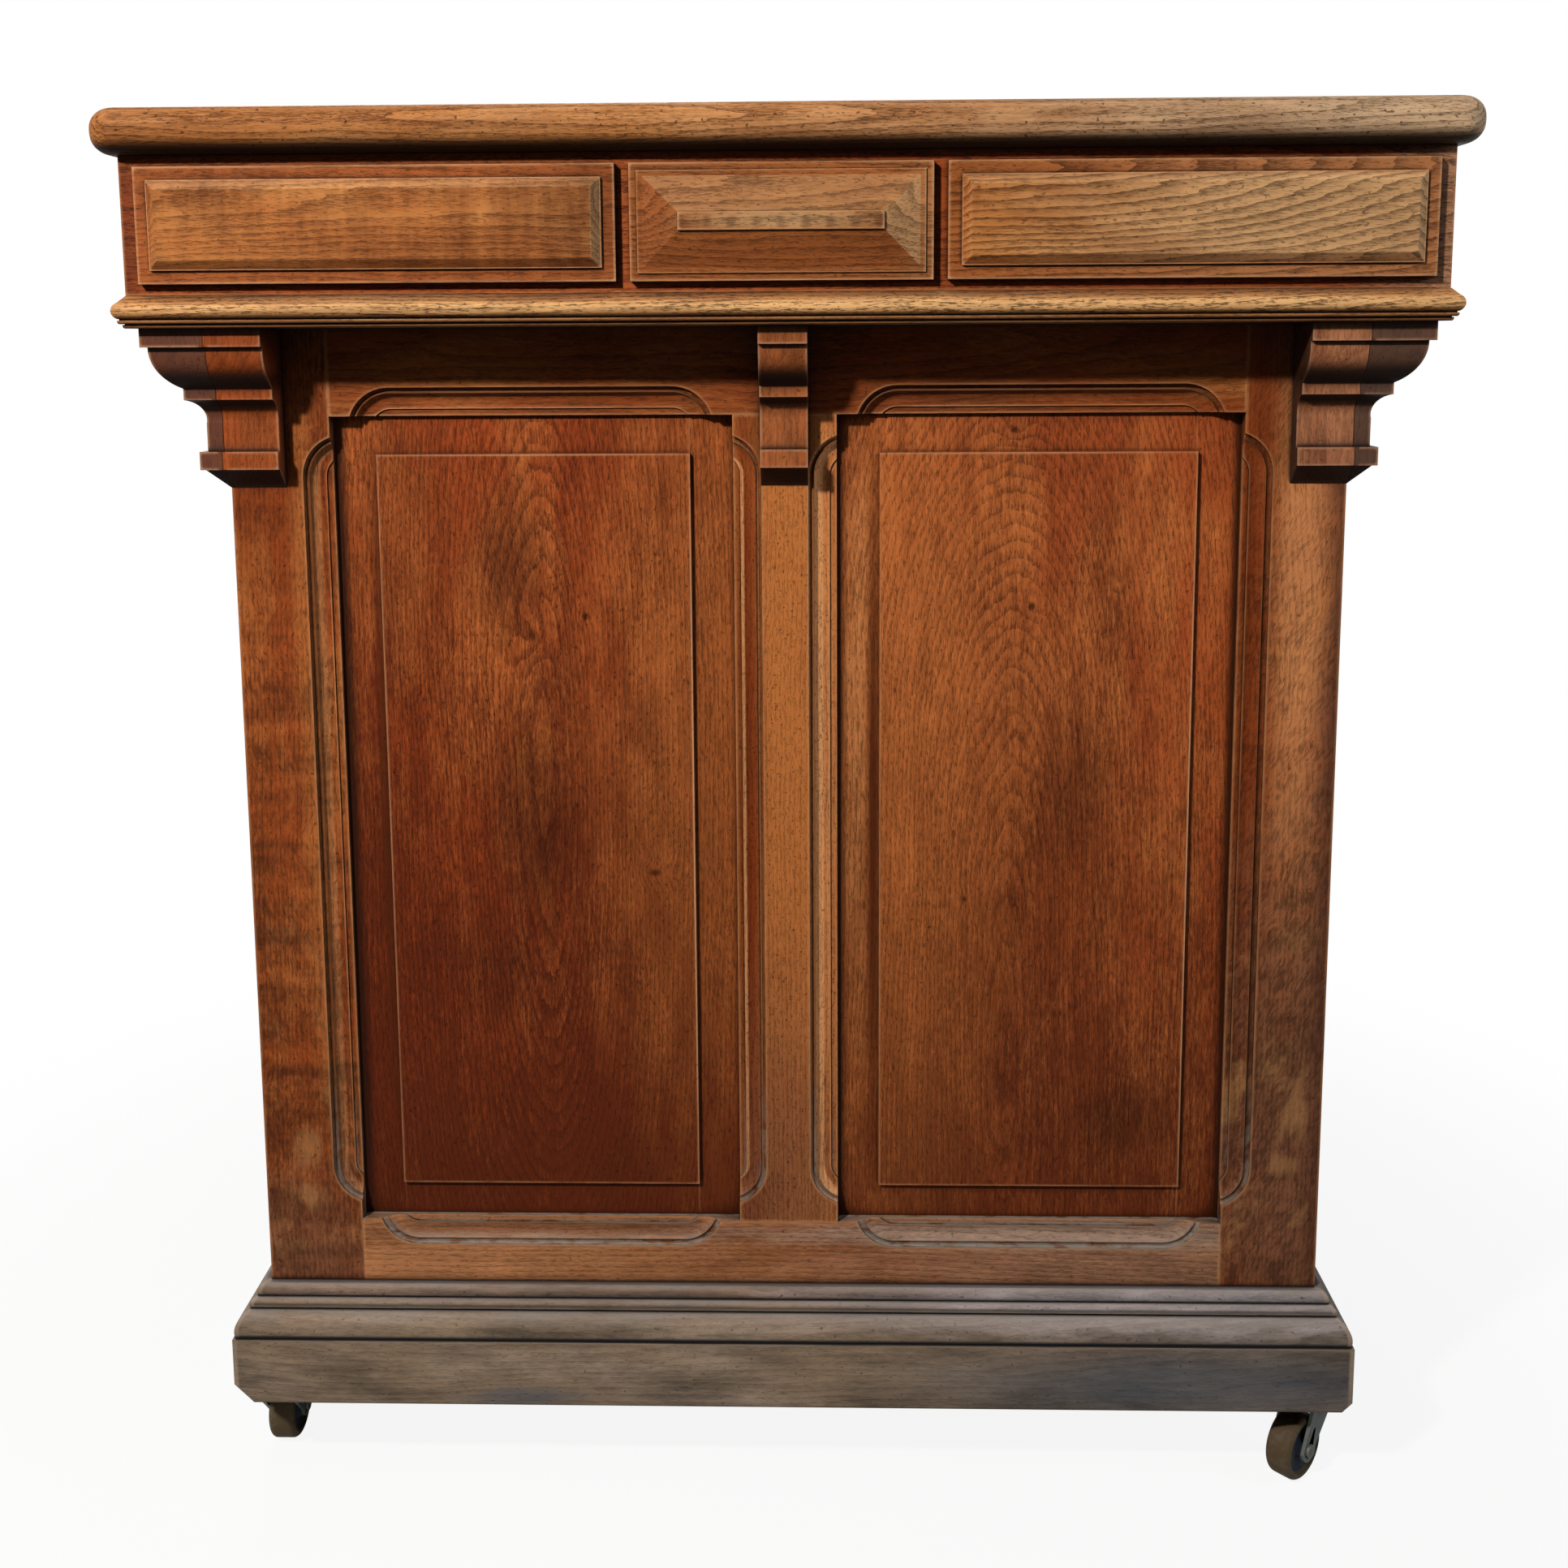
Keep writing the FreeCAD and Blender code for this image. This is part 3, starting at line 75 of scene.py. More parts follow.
class Signal:
    """One output of a shader graph that works in plain arithmetic."""

    def __init__(self, graph: "Graph", socket: bpy.types.NodeSocket) -> None:
        """Keeps the socket and the graph that holds it."""
        self.graph = graph
        self.socket = socket

    def __add__(self, other: "Value") -> "Signal":
        """Sum."""
        return self.graph.math("ADD", self, other)

    def __radd__(self, other: "Value") -> "Signal":
        """Sum, with this signal second."""
        return self.graph.math("ADD", other, self)

    def __sub__(self, other: "Value") -> "Signal":
        """Difference."""
        return self.graph.math("SUBTRACT", self, other)

    def __rsub__(self, other: "Value") -> "Signal":
        """Difference, with this signal second."""
        return self.graph.math("SUBTRACT", other, self)

    def __mul__(self, other: "Value") -> "Signal":
        """Product."""
        return self.graph.math("MULTIPLY", self, other)

    def __rmul__(self, other: "Value") -> "Signal":
        """Product, with this signal second."""
        return self.graph.math("MULTIPLY", other, self)

    def __truediv__(self, other: "Value") -> "Signal":
        """Quotient."""
        return self.graph.math("DIVIDE", self, other)

    def __rtruediv__(self, other: "Value") -> "Signal":
        """Quotient, with this signal second."""
        return self.graph.math("DIVIDE", other, self)

    def __pow__(self, power: "Value") -> "Signal":
        """Power."""
        return self.graph.math("POWER", self, power)

    def __rpow__(self, base: "Value") -> "Signal":
        """Power, with this signal second."""
        return self.graph.math("POWER", base, self)

    def __abs__(self) -> "Signal":
        """Size without the sign."""
        return self.graph.math("ABSOLUTE", self)

    def fraction(self) -> "Signal":
        """What is left over the last whole number."""
        return self.graph.math("FRACT", self)

    def rise(self, low: float, high: float) -> "Signal":
        """Smooth step between two levels, which falls where low is the larger.

        Args:
            low: Level at which the step is 0.
            high: Level at which it is 1.

        Returns:
            The step, from 0 to 1.
        """
        return self.graph.node(
            "ShaderNodeMapRange",
            {"interpolation_type": "SMOOTHSTEP"},
            {"Value": self, "From Min": low, "From Max": high},
        )


Value = Union[Signal, float]
Tint = Union[Signal, Triple]


class Graph:
    """Node graph of one material or of the world."""

    def __init__(self, owner: Union[bpy.types.Material, bpy.types.World]) -> None:
        """Empties the owner's node tree and keeps it.

        Args:
            owner: The material or the world.
        """
        owner.use_nodes = True
        self.owner = owner
        self.tree = owner.node_tree
        self.tree.nodes.clear()

    def node(
        self,
        kind: str,
        settings: Mapping[str, Any],
        inputs: Mapping[Union[str, int], Any],
        output: Union[str, int] = 0,
    ) -> Signal:
        """Adds any node.

        Args:
            kind: The node's type.
            settings: Its properties, which are set first.
            inputs: Values or signals for its sockets.
            output: Which output is wanted.

        Returns:
            The wanted output.
        """
        made = self.tree.nodes.new(kind)
        for name, value in settings.items():
            setattr(made, name, value)
        for key, value in inputs.items():
            socket = made.inputs[key]
            if isinstance(value, Signal):
                self.tree.links.new(value.socket, socket)
            elif socket.type == "RGBA":
                socket.default_value = (*value, 1.0)
            else:
                socket.default_value = value
        return Signal(self, made.outputs[output])

    def math(self, operation: str, first: Value, second: Value = 0.0) -> Signal:
        """Adds one Math node."""
        return self.node("ShaderNodeMath", {"operation": operation}, {0: first, 1: second})

    def mix(self, factor: Value, first: Tint, second: Tint) -> Signal:
        """Goes from the first colour to the second as the factor goes from 0 to 1."""
        return self.node("ShaderNodeMix", {"data_type": "RGBA"}, {0: factor, 6: first, 7: second}, 2)

    def coordinates(self) -> Signal:
        """Place in the object's own frame, which is the shared frame at rest, in metres."""
        return self.node("ShaderNodeTexCoord", {}, {}, "Object")

    def axis(self, vector: Signal, name: str) -> Signal:
        """The X, Y or Z of a vector."""
        return self.node("ShaderNodeSeparateXYZ", {}, {0: vector}, name)

    def noise(self, place: Signal, scale: Triple, detail: float, roughness: float = 0.5) -> Signal:
        """Noise from 0 to 1.

        Args:
            place: Where the noise is wanted, in metres.
            scale: Blotches to the metre on each axis.
            detail: Octaves of finer noise.
            roughness: How strong the finer octaves are.

        Returns:
            The noise.
        """
        stretched = self.node("ShaderNodeVectorMath", {"operation": "MULTIPLY"}, {0: place, 1: scale})
        inputs = {"Vector": stretched, "Scale": 1.0, "Detail": detail, "Roughness": roughness}
        return self.node("ShaderNodeTexNoise", {}, inputs)

    def hollow(self, reach: float) -> Signal:
        """How far a spot lies in a recess, from 0 in the open to 1."""
        settings = {"samples": OCCLUSION_SAMPLES}
        return 1.0 - self.node("ShaderNodeAmbientOcclusion", settings, {"Distance": reach}, "AO")

    def arris(self, reach: float) -> Signal:
        """How near a spot lies to an outer edge of its own piece, from 0 to 1."""
        settings = {"samples": OCCLUSION_SAMPLES, "inside": True, "only_local": True}
        return 1.0 - self.node("ShaderNodeAmbientOcclusion", settings, {"Distance": reach}, "AO")

    def facing(self, axis: str) -> Signal:
        """How squarely a face looks along an axis of the frame, from -1 to 1."""
        return self.axis(self.node("ShaderNodeNewGeometry", {}, {}, "Normal"), axis)

    def bump(self, height: Signal, depth: float, strength: float) -> Signal:
        """Normal of a surface with that relief, depth in metres."""
        return self.node("ShaderNodeBump", {}, {"Height": height, "Distance": depth, "Strength": strength})

    def close(self, shader: Signal) -> Any:
        """Sends the shader to the output.

        Args:
            shader: What the surface or the background shows.

        Returns:
            The material or the world.
        """
        kind = "ShaderNodeOutputMaterial"
        if isinstance(self.owner, bpy.types.World):
            kind = "ShaderNodeOutputWorld"
        output = self.tree.nodes.new(kind)
        self.tree.links.new(shader.socket, output.inputs["Surface"])
        return self.owner


def new_graph(name: str) -> Graph:
    """Starts a new material of that name."""
    return Graph(bpy.data.materials.new(name))


class Grain(Enum):
    """Which frame axes a board has across its face, through its thickness and along its fibres."""

    UPRIGHT_FRONT = "XYZ"
    UPRIGHT_SIDE = "YXZ"
    LEVEL_FRONT = "ZYX"
    LEVEL_SIDE = "ZXY"
    LEVEL_TOP = "YZX"


class Pattern(Enum):
    """Noises of the wood: blotches to the metre across and along the fibres, octaves, roughness."""

    WAVE = (26.0, 20.0, 2.0, 0.5)
    CLOUD = (8.0, 2.2, 3.0, 0.6)
    MOTTLE = (62.0, 15.0, 4.0, 0.62)
    FIBRE = (820.0, 120.0, 3.0, 0.65)
    GRIT = (240.0, 70.0, 3.0, 0.6)
    OPEN_GRAIN = (30.0, 12.0, 2.0, 0.5)
    PORES = (1250.0, 165.0, 2.5, 0.65)
    SWAY = (14.0, 3.2, 2.0, 0.5)
    JITTER = (300.0, 40.0, 2.0, 0.5)
    GOLDEN = (21.0, 5.5, 3.0, 0.6)
    STREAK = (430.0, 8.0, 3.0, 0.6)
    RIPPLE = (11.0, 62.0, 4.0, 0.6)
    DAPPLE = (330.0, 120.0, 2.0, 0.6)
    STIPPLE = (620.0, 420.0, 1.5, 0.5)
    FLAME = (38.0, 26.0, 4.0, 0.62)
    WORMHOLES = (460.0, 300.0, 0.0, 0.5)
    RESIDUE = (150.0, 60.0, 3.0, 0.6)


class Trace(Enum):
    """What left a mark on the wood, or what painted light or shade a mark lays on it."""

    STAIN = "stain"
    KNOT = "knot"
    SCUFF = "scuff"
    BLEACH = "bleach"
    OIL = "oil"
    SUN = "sun"
    GRIME = "grime"
    VARNISH = "varnish"
    DUST = "dust"


@dataclass(frozen=True)
class Mark:
    """A patch of one trace at a place in the frame, in metres.

    Its middle lies at across and along the fibres, it reaches width and length to both sides of
    there, and ragged says how far its rim follows the mottling of the wood.
    """

    trace: Trace
    across: float
    along: float
    width: float
    length: float
    strength: float
    ragged: float = 1.6

    def reach(self, wood: "Wood", spread: float = 1.0) -> Signal:
        """Distance from the mark's middle.

        Args:
            wood: The board that carries the mark.
            spread: How many times larger than itself the mark is taken.

        Returns:
            The distance, 1 at the rim.
        """
        off_side = (wood.across - self.across) / (self.width * spread)
        off_end = (wood.along - self.along) / (self.length * spread)
        return (off_side * off_side + off_end * off_end) ** 0.5

    def mask(self, wood: "Wood") -> Signal:
        """Where the mark shows on a board, from 0 to its strength."""
        distance = self.reach(wood) + (wood.mottle - 0.5) * self.ragged
        return distance.rise(*MARK_SPAN) * self.strength


@dataclass(frozen=True)
class Board:
    """How one board was cut from its log, and what happened to it since.

    The heart of the log lies at heart_side and heart_deep from the board's middle, and bows away
    from the face to both sides of the crest, which draws the arches of a flat-sawn face.
    """

    grain: Grain
    seed: float
    heart_side: float = 0.02
    heart_deep: float = 0.03
    crest: float = 0.0
    lean: float = 0.02
    bow: float = 0.05
    figure: float = 1.0
    tilt: float = 0.0
    curl: float = 0.005
    stipple: float = 0.0
    dapple: float = 0.0
    ripple: float = 0.0
    flame: float = 0.0
    # painted light: slope lightens faces tilted up and shades those tilted down, glare lightens faces turned
    # to +X, under and lee paint shade on undersides and faces turned to -X
    slope: float = 0.0
    glare: float = 0.0
    under: float = 0.0
    lee: float = 0.0
    rim: float = 0.0
    ring: float = 0.0034
    shade: float = 0.0
    gold: float = 0.0
    chalk: float = 0.0
    dust: float = 0.10
    seam: float = 9.0
    marks: tuple[Mark, ...] = ()


class Wood:
    """Shader graph of one board with the fields that its layers share."""

    SEED_DEEP = 1.7
    SEED_ALONG = 2.3
    SWAY_SIDE = 0.024
    SWAY_DEEP = 0.012
    RING_JITTER = 0.55
    RING_FADE = 1.6
    KNOT_SPREAD = 4.0
    PORES_IN_SPRING = 0.14
    PORES_IN_PATCHES = 0.20

    def __init__(self, name: str, board: Board) -> None:
        """Starts the graph.

        Args:
            name: The CAD node that wears the wood.
            board: How the board was cut.
        """
        self.graph = new_graph(f"oak_{name}")
        self.board = board
        low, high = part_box(name)
        middle = (low + high) / 2
        spot = self.graph.coordinates()
        axes = board.grain.value
        self.across, self.deep, self.along = (self.graph.axis(spot, axis) for axis in axes)
        self.centre = [middle["XYZ".index(axis)] for axis in axes]
        self.front = low["XYZ".index(axes[1])]
        self.height = self.graph.axis(spot, "Z")
        shifted = {
            0: self.across + board.seed,
            1: self.deep + board.seed * self.SEED_DEEP,
            2: self.along + board.seed * self.SEED_ALONG,
        }
        self.place = self.graph.node("ShaderNodeCombineXYZ", {}, shifted)
        wave = self.noise(Pattern.WAVE) - 0.5
        shifted[0] = shifted[0] - (self.along - self.centre[2]) * board.tilt + wave * board.curl
        self.place = self.graph.node("ShaderNodeCombineXYZ", {}, shifted)
        self.cloud = self.noise(Pattern.CLOUD)
        self.mottle = self.noise(Pattern.MOTTLE)
        self.fibre = self.noise(Pattern.FIBRE)
        self.grit = self.noise(Pattern.GRIT)
        self.early = self.rings(board.ring)
        open_grain = self.noise(Pattern.OPEN_GRAIN) * self.PORES_IN_PATCHES
        pores = self.noise(Pattern.PORES) + self.early * self.PORES_IN_SPRING + open_grain
        self.pores = pores.rise(0.66, 0.78)

    def noise(self, pattern: Pattern) -> Signal:
        """One of the wood's noises, laid along the board's own fibres."""
        across, along, detail, roughness = pattern.value
        return self.graph.noise(self.place, (across, across, along), detail, roughness)

    def rings(self, width: float) -> Signal:
        """Growth rings, which part around the knots.

        Args:
            width: One year's growth, in metres.

        Returns:
            1 in the porous wood of spring, falling to 0 at the end of the year.
        """
        board = self.board
        drift = self.along - (self.centre[2] + board.crest)
        sway = self.noise(Pattern.SWAY) - 0.5
        side = self.across - (self.centre[0] + board.heart_side) + sway * self.SWAY_SIDE
        heart = self.centre[1] + board.heart_deep + drift * board.lean + drift * drift * board.bow
        depth = self.deep - heart + sway * self.SWAY_DEEP
        radius = (side * side + depth * depth) ** 0.5
        for mark in board.marks:
            if mark.trace is Trace.KNOT:
                radius = radius + mark.reach(self, self.KNOT_SPREAD).rise(1.0, 0.0) * mark.width
        jitter = (self.noise(Pattern.JITTER) - 0.5) * self.RING_JITTER
        year = (radius / width + jitter).fraction()
        return (1.0 - year) ** self.RING_FADE


@dataclass(frozen=True)
class Oak:
    """Waxed oak that has aged in use."""

    light: Triple
    gold: Triple
    dark: Triple
    pore: Triple = (0.020, 0.005, 0.002)
    worn: Triple = (0.40, 0.18, 0.070)
    # near-black for soiling and for painted shade in recesses, creases, undersides and lee sides
    grime: Triple = (0.008, 0.003, 0.0015)
    # dark colour of discoloured patches and of painted shade in grooves, coves and under raised edges
    stain: Triple = (0.030, 0.008, 0.004)
    scuff: Triple = (0.42, 0.21, 0.080)
    dust: Triple = (0.26, 0.185, 0.135)
    chalk: Triple = (0.26, 0.25, 0.225)
    oil: Triple = (0.17, 0.065, 0.030)
    # pale colour of faded wood and of painted sheen and highlights where the lamps would catch
    sun: Triple = (0.44, 0.245, 0.140)
    # old varnish in the mouldings; the same colour paints shade on faces tilted downward
    varnish: Triple = (0.22, 0.050, 0.012)
    blotch: float = 1.0
    mottling: float = 0.9
    streaks: float = 0.6
    fibres: float = 1.0
    grit: float = 0.7
    figure: float = 0.22
    pitting: float = 0.65
    # strengths of painted shade in wide recesses, in grooves, and in creases where some soiling is meant too
    shadow: float = 0.70
    groove: float = 0.70
    crease: float = 0.90
    wear: float = 0.65
    # how much darker the wood gets towards the bottom
    low_darkening: float = 0.25
    specks: float = 0.5
    roughness: float = 0.5
    gloss: float = 0.05
    relief: float = 0.0004
    depth: float = 0.42

    def material(self, name: str, board: Board) -> bpy.types.Material:
        """Wood of one board.

        Args:
            name: The CAD node that wears it.
            board: How the board was cut.

        Returns:
            The material.
        """
        wood = Wood(name, board)
        graph = wood.graph
        colour = self.patina(wood, self.heartwood(wood))
        relief = 0.5 - wood.pores * 0.5 - wood.early * 0.12
        relief = relief + (wood.fibre - 0.5) * 0.3 + (wood.mottle - 0.5) * 0.3
        shader = graph.node(
            "ShaderNodeBsdfPrincipled",
            {},
            {
                "Base Color": colour,
                "Roughness": self.roughness + wood.pores * 0.2 + (wood.cloud - 0.5) * 0.3,
                "Specular IOR Level": self.gloss,
                "Normal": graph.bump(relief, self.relief, 0.6),
            },
        )
        return graph.close(shader)

    def trace_tint(self, trace: Trace) -> Triple:
        """Colour that a mark leaves.

        Args:
            trace: What left the mark.

        Returns:
            The colour.
        """
        tints = {
            Trace.STAIN: self.stain,
            Trace.KNOT: self.pore,
            Trace.SCUFF: self.scuff,
            Trace.BLEACH: self.gold,
            Trace.OIL: self.oil,
            Trace.SUN: self.sun,
            Trace.GRIME: self.grime,
            Trace.VARNISH: self.varnish,
            Trace.DUST: self.dust,
        }
        return tints[trace]

    def ground(self, wood: Wood) -> tuple[Signal, Tint]:
        """Tints the plain wood with the marks that keep its grain.

        Args:
            wood: The board's graph.

        Returns:
            The palest and the deepest colour between which the grain runs.
        """
        graph, board = wood.graph, wood.board
        golden = wood.noise(Pattern.GOLDEN).rise(0.40, 0.68) + board.gold
        pale = graph.mix(golden, self.light, self.gold)
        deep: Tint = self.dark
        for mask, tint in self.washes(wood):
            pale = graph.mix(mask, pale, tint)
            deep = graph.mix(mask, deep, tuple(part * self.depth for part in tint))
        return pale, deep

    def washes(self, wood: Wood) -> list[tuple[Signal, Triple]]:
        """All that tints the wood and leaves its grain to see, with painted highlight, sheen and shade on
        tilted faces.

        Args:
            wood: The board's graph.

        Returns:
            Masks with their colours, in the order in which they were laid on.
        """
        graph, board = wood.graph, wood.board
        kept = (Trace.BLEACH, Trace.OIL, Trace.SUN, Trace.VARNISH, Trace.DUST)
        marks = [mark for mark in board.marks if mark.trace in kept]
        washes = [(mark.mask(wood), self.trace_tint(mark.trace)) for mark in marks]
        if board.rim:
            washes.append(((wood.deep - wood.front).rise(*RIM_SPAN) * board.rim, self.varnish))
        # painted light: faces tilted up lighter, faces tilted down darker with the varnish colour
        if board.slope:
            up = graph.facing("Z")
            washes.append((up.rise(*TILTED) * board.slope, self.sun))
            washes.append((up.rise(*DROOPED) * board.slope, self.varnish))
        # painted sheen on faces turned to +X, towards the window lamp
        if board.glare:
            washes.append((graph.facing("X").rise(*TILTED) * board.glare, self.sun))
        return washes

    def heartwood(self, wood: Wood) -> Signal:
        """Planed wood with its rings, flecks, pores, wormholes and marks, darker towards the bottom, with
        painted shade in some marks.

        Args:
            wood: The board's graph.

        Returns:
            The colour.
        """
        graph, board = wood.graph, wood.board
        streak = wood.noise(Pattern.STREAK)
        tone = 0.5 + board.shade + (wood.cloud - 0.5) * self.blotch + (wood.mottle - 0.5) * self.mottling
        tone = tone + (streak - 0.5) * self.streaks + (wood.fibre - 0.5) * self.fibres
        tone = tone + (wood.grit - 0.5) * self.grit
        tone = tone + (wood.early - 0.38) * self.figure * board.figure
        # darker towards the bottom
        tone = tone + wood.height.rise(*LOW_DARKENING_SPAN) * self.low_darkening
        if board.ripple:
            tone = tone - (wood.noise(Pattern.RIPPLE) - 0.5) * board.ripple
        if board.dapple:
            tone = tone + (wood.noise(Pattern.DAPPLE).rise(0.40, 0.64) - 0.4) * board.dapple
        pale, deep = self.ground(wood)
        colour = graph.mix(tone.rise(0.0, 1.0), pale, deep)
        if board.stipple:
            pits = wood.noise(Pattern.STIPPLE).rise(0.60, 0.70)
            colour = graph.mix(pits * board.stipple, colour, self.pore)
        if board.flame:
            tongues = wood.noise(Pattern.FLAME).rise(0.52, 0.70) * wood.height.rise(*FLAME_SPAN)
            colour = graph.mix(tongues * board.flame, colour, self.scuff)
        colour = graph.mix(wood.pores * self.pitting, colour, self.pore)
        # some of these marks are painted shade: coves, lines under raised edges, dark bands beside frames
        for mark in board.marks:
            if mark.trace in (Trace.STAIN, Trace.KNOT, Trace.SCUFF, Trace.GRIME):
                colour = graph.mix(mark.mask(wood), colour, self.trace_tint(mark.trace))
        holes = wood.noise(Pattern.WORMHOLES).rise(0.755, 0.79)
        return graph.mix(holes * self.specks, colour, self.pore)

    def patina(self, wood: Wood, colour: Signal) -> Signal:
        """Wears the edges, paints shade into recesses, grooves, creases, undersides and lee sides, and lays
        dust on the ledges.

        Args:
            wood: The board's graph.
            colour: The planed wood.

        Returns:
            The colour after years of use, with the painted shade.
        """
        graph, board = wood.graph, wood.board
        patchy = wood.mottle.rise(0.25, 0.62)
        off_seam = abs(wood.across - board.seam)
        edge = graph.arris(ARRIS_REACH).rise(0.08, 0.42) * (patchy * 0.70 + 0.30)
        edge = edge * off_seam.rise(*SEAM_CLEAR)
        colour = graph.mix(edge * self.wear, colour, self.worn)
        colour = graph.mix(off_seam.rise(*SEAM_LINE) * SEAM_GRIME, colour, self.grime)
        ledge = graph.facing("Z").rise(*LEDGE) * patchy
        colour = graph.mix(ledge * board.dust, colour, self.dust)
        # painted shade on faces looking down
        if board.under:
            colour = graph.mix(graph.facing("Z").rise(*UNDERSIDE) * board.under, colour, self.grime)
        # painted shade on faces turned to -X, away from the window lamp
        if board.lee:
            colour = graph.mix(graph.facing("X").rise(*LEE_SIDE) * board.lee, colour, self.grime)
        # painted shade: darker in creases (with some soiling), in grooves and in wide recesses where shadow
        # falls
        crease = graph.hollow(CREASE_REACH)
        groove = graph.hollow(GROOVE_REACH).rise(0.06, 0.42) * self.groove
        colour = graph.mix(groove, colour, self.stain)
        shade = graph.hollow(SHADOW_REACH).rise(0.12, 0.75) * self.shadow
        colour = graph.mix(shade, colour, self.grime)
        colour = graph.mix(crease.rise(0.16, 0.46) * self.crease, colour, self.grime)
        if board.chalk:
            lower = wood.height.rise(*CHALK_TOP) * wood.height.rise(*CHALK_FOOT)
            rim = crease.rise(0.08, 0.22) - crease.rise(0.32, 0.60)
            residue = rim * wood.noise(Pattern.RESIDUE).rise(0.36, 0.54)
            colour = graph.mix(lower * residue * board.chalk, colour, self.chalk)
        return colour


@dataclass(frozen=True)
class Steel:
    """Dull plated steel with rust, darker in its recesses."""

    plate: Triple = (0.070, 0.082, 0.074)
    bright: Triple = (0.16, 0.17, 0.16)
    rust: Triple = (0.075, 0.040, 0.020)
    recess_dark: Triple = (0.018, 0.017, 0.016)
    roughness: float = 0.48

    def material(self, name: str) -> bpy.types.Material:
        """Steel of one piece.

        Args:
            name: The CAD node that wears it.

        Returns:
            The material.
        """
        graph = new_graph(f"steel_{name}")
        place = graph.coordinates()
        blotch = graph.noise(place, (90.0, 90.0, 90.0), 4.0, 0.6)
        speck = graph.noise(place, (900.0, 900.0, 900.0), 3.0, 0.6)
        rust = blotch.rise(0.52, 0.68) * speck.rise(0.35, 0.6)
        colour = graph.mix(rust * 0.8, self.plate, self.rust)
        colour = graph.mix(graph.arris(0.002).rise(0.15, 0.6) * 0.35, colour, self.bright)
        # darker in the recesses
        colour = graph.mix(graph.hollow(0.012).rise(0.3, 0.85) * 0.8, colour, self.recess_dark)
        shader = graph.node(
            "ShaderNodeBsdfPrincipled",
            {},
            {
                "Base Color": colour,
                "Metallic": 0.30 - rust * 0.28,
                "Roughness": self.roughness + rust * 0.3 + (speck - 0.5) * 0.2,
                "Normal": graph.bump(speck - rust * 0.4, 0.0002, 0.5),
            },
        )
        return graph.close(shader)


@dataclass(frozen=True)
class Tread:
    """Brown tread on a dark wheel disc."""

    tread: Triple = (0.064, 0.043, 0.023)
    disc: Triple = (0.012, 0.019, 0.030)
    dust: Triple = (0.16, 0.14, 0.11)
    recess_dark: Triple = (0.008, 0.008, 0.008)
    band: float = 0.0185
    seam: float = 0.0003

    def material(self, name: str, centre: Vector, axle: Vector) -> bpy.types.Material:
        """Wheel coloured by the distance from its axle.

        Args:
            name: The wheel's node.
            centre: Middle of the wheel.
            axle: Direction of its axle.

        Returns:
            The material.
        """
        graph = new_graph(f"tread_{name}")
        place = graph.coordinates()
        kind = "ShaderNodeVectorMath"
        arm = graph.node(kind, {"operation": "SUBTRACT"}, {0: place, 1: tuple(centre)})
        turned = graph.node(kind, {"operation": "CROSS_PRODUCT"}, {0: arm, 1: tuple(axle)})
        radius = graph.node(kind, {"operation": "LENGTH"}, {0: turned}, "Value")
        blotch = graph.noise(place, (120.0, 120.0, 120.0), 4.0, 0.6)
        speck = graph.noise(place, (1400.0, 1400.0, 1400.0), 2.0)
        rim = (radius + (speck - 0.5) * self.seam * 2.0).rise(self.band - self.seam, self.band + self.seam)
        colour = graph.mix(rim, self.disc, self.tread)
        colour = graph.mix(blotch.rise(0.45, 0.75) * 0.25, colour, self.dust)
        # darker in the recesses
        colour = graph.mix(graph.hollow(0.010).rise(0.3, 0.85) * 0.7, colour, self.recess_dark)
        shader = graph.node(
            "ShaderNodeBsdfPrincipled",
            {},
            {
                "Base Color": colour,
                "Roughness": 0.55 + (blotch - 0.5) * 0.4,
                "Specular IOR Level": 0.08,
                "Normal": graph.bump(speck + blotch * 0.6, 0.0003, 0.5),
            },
        )
        return graph.close(shader)


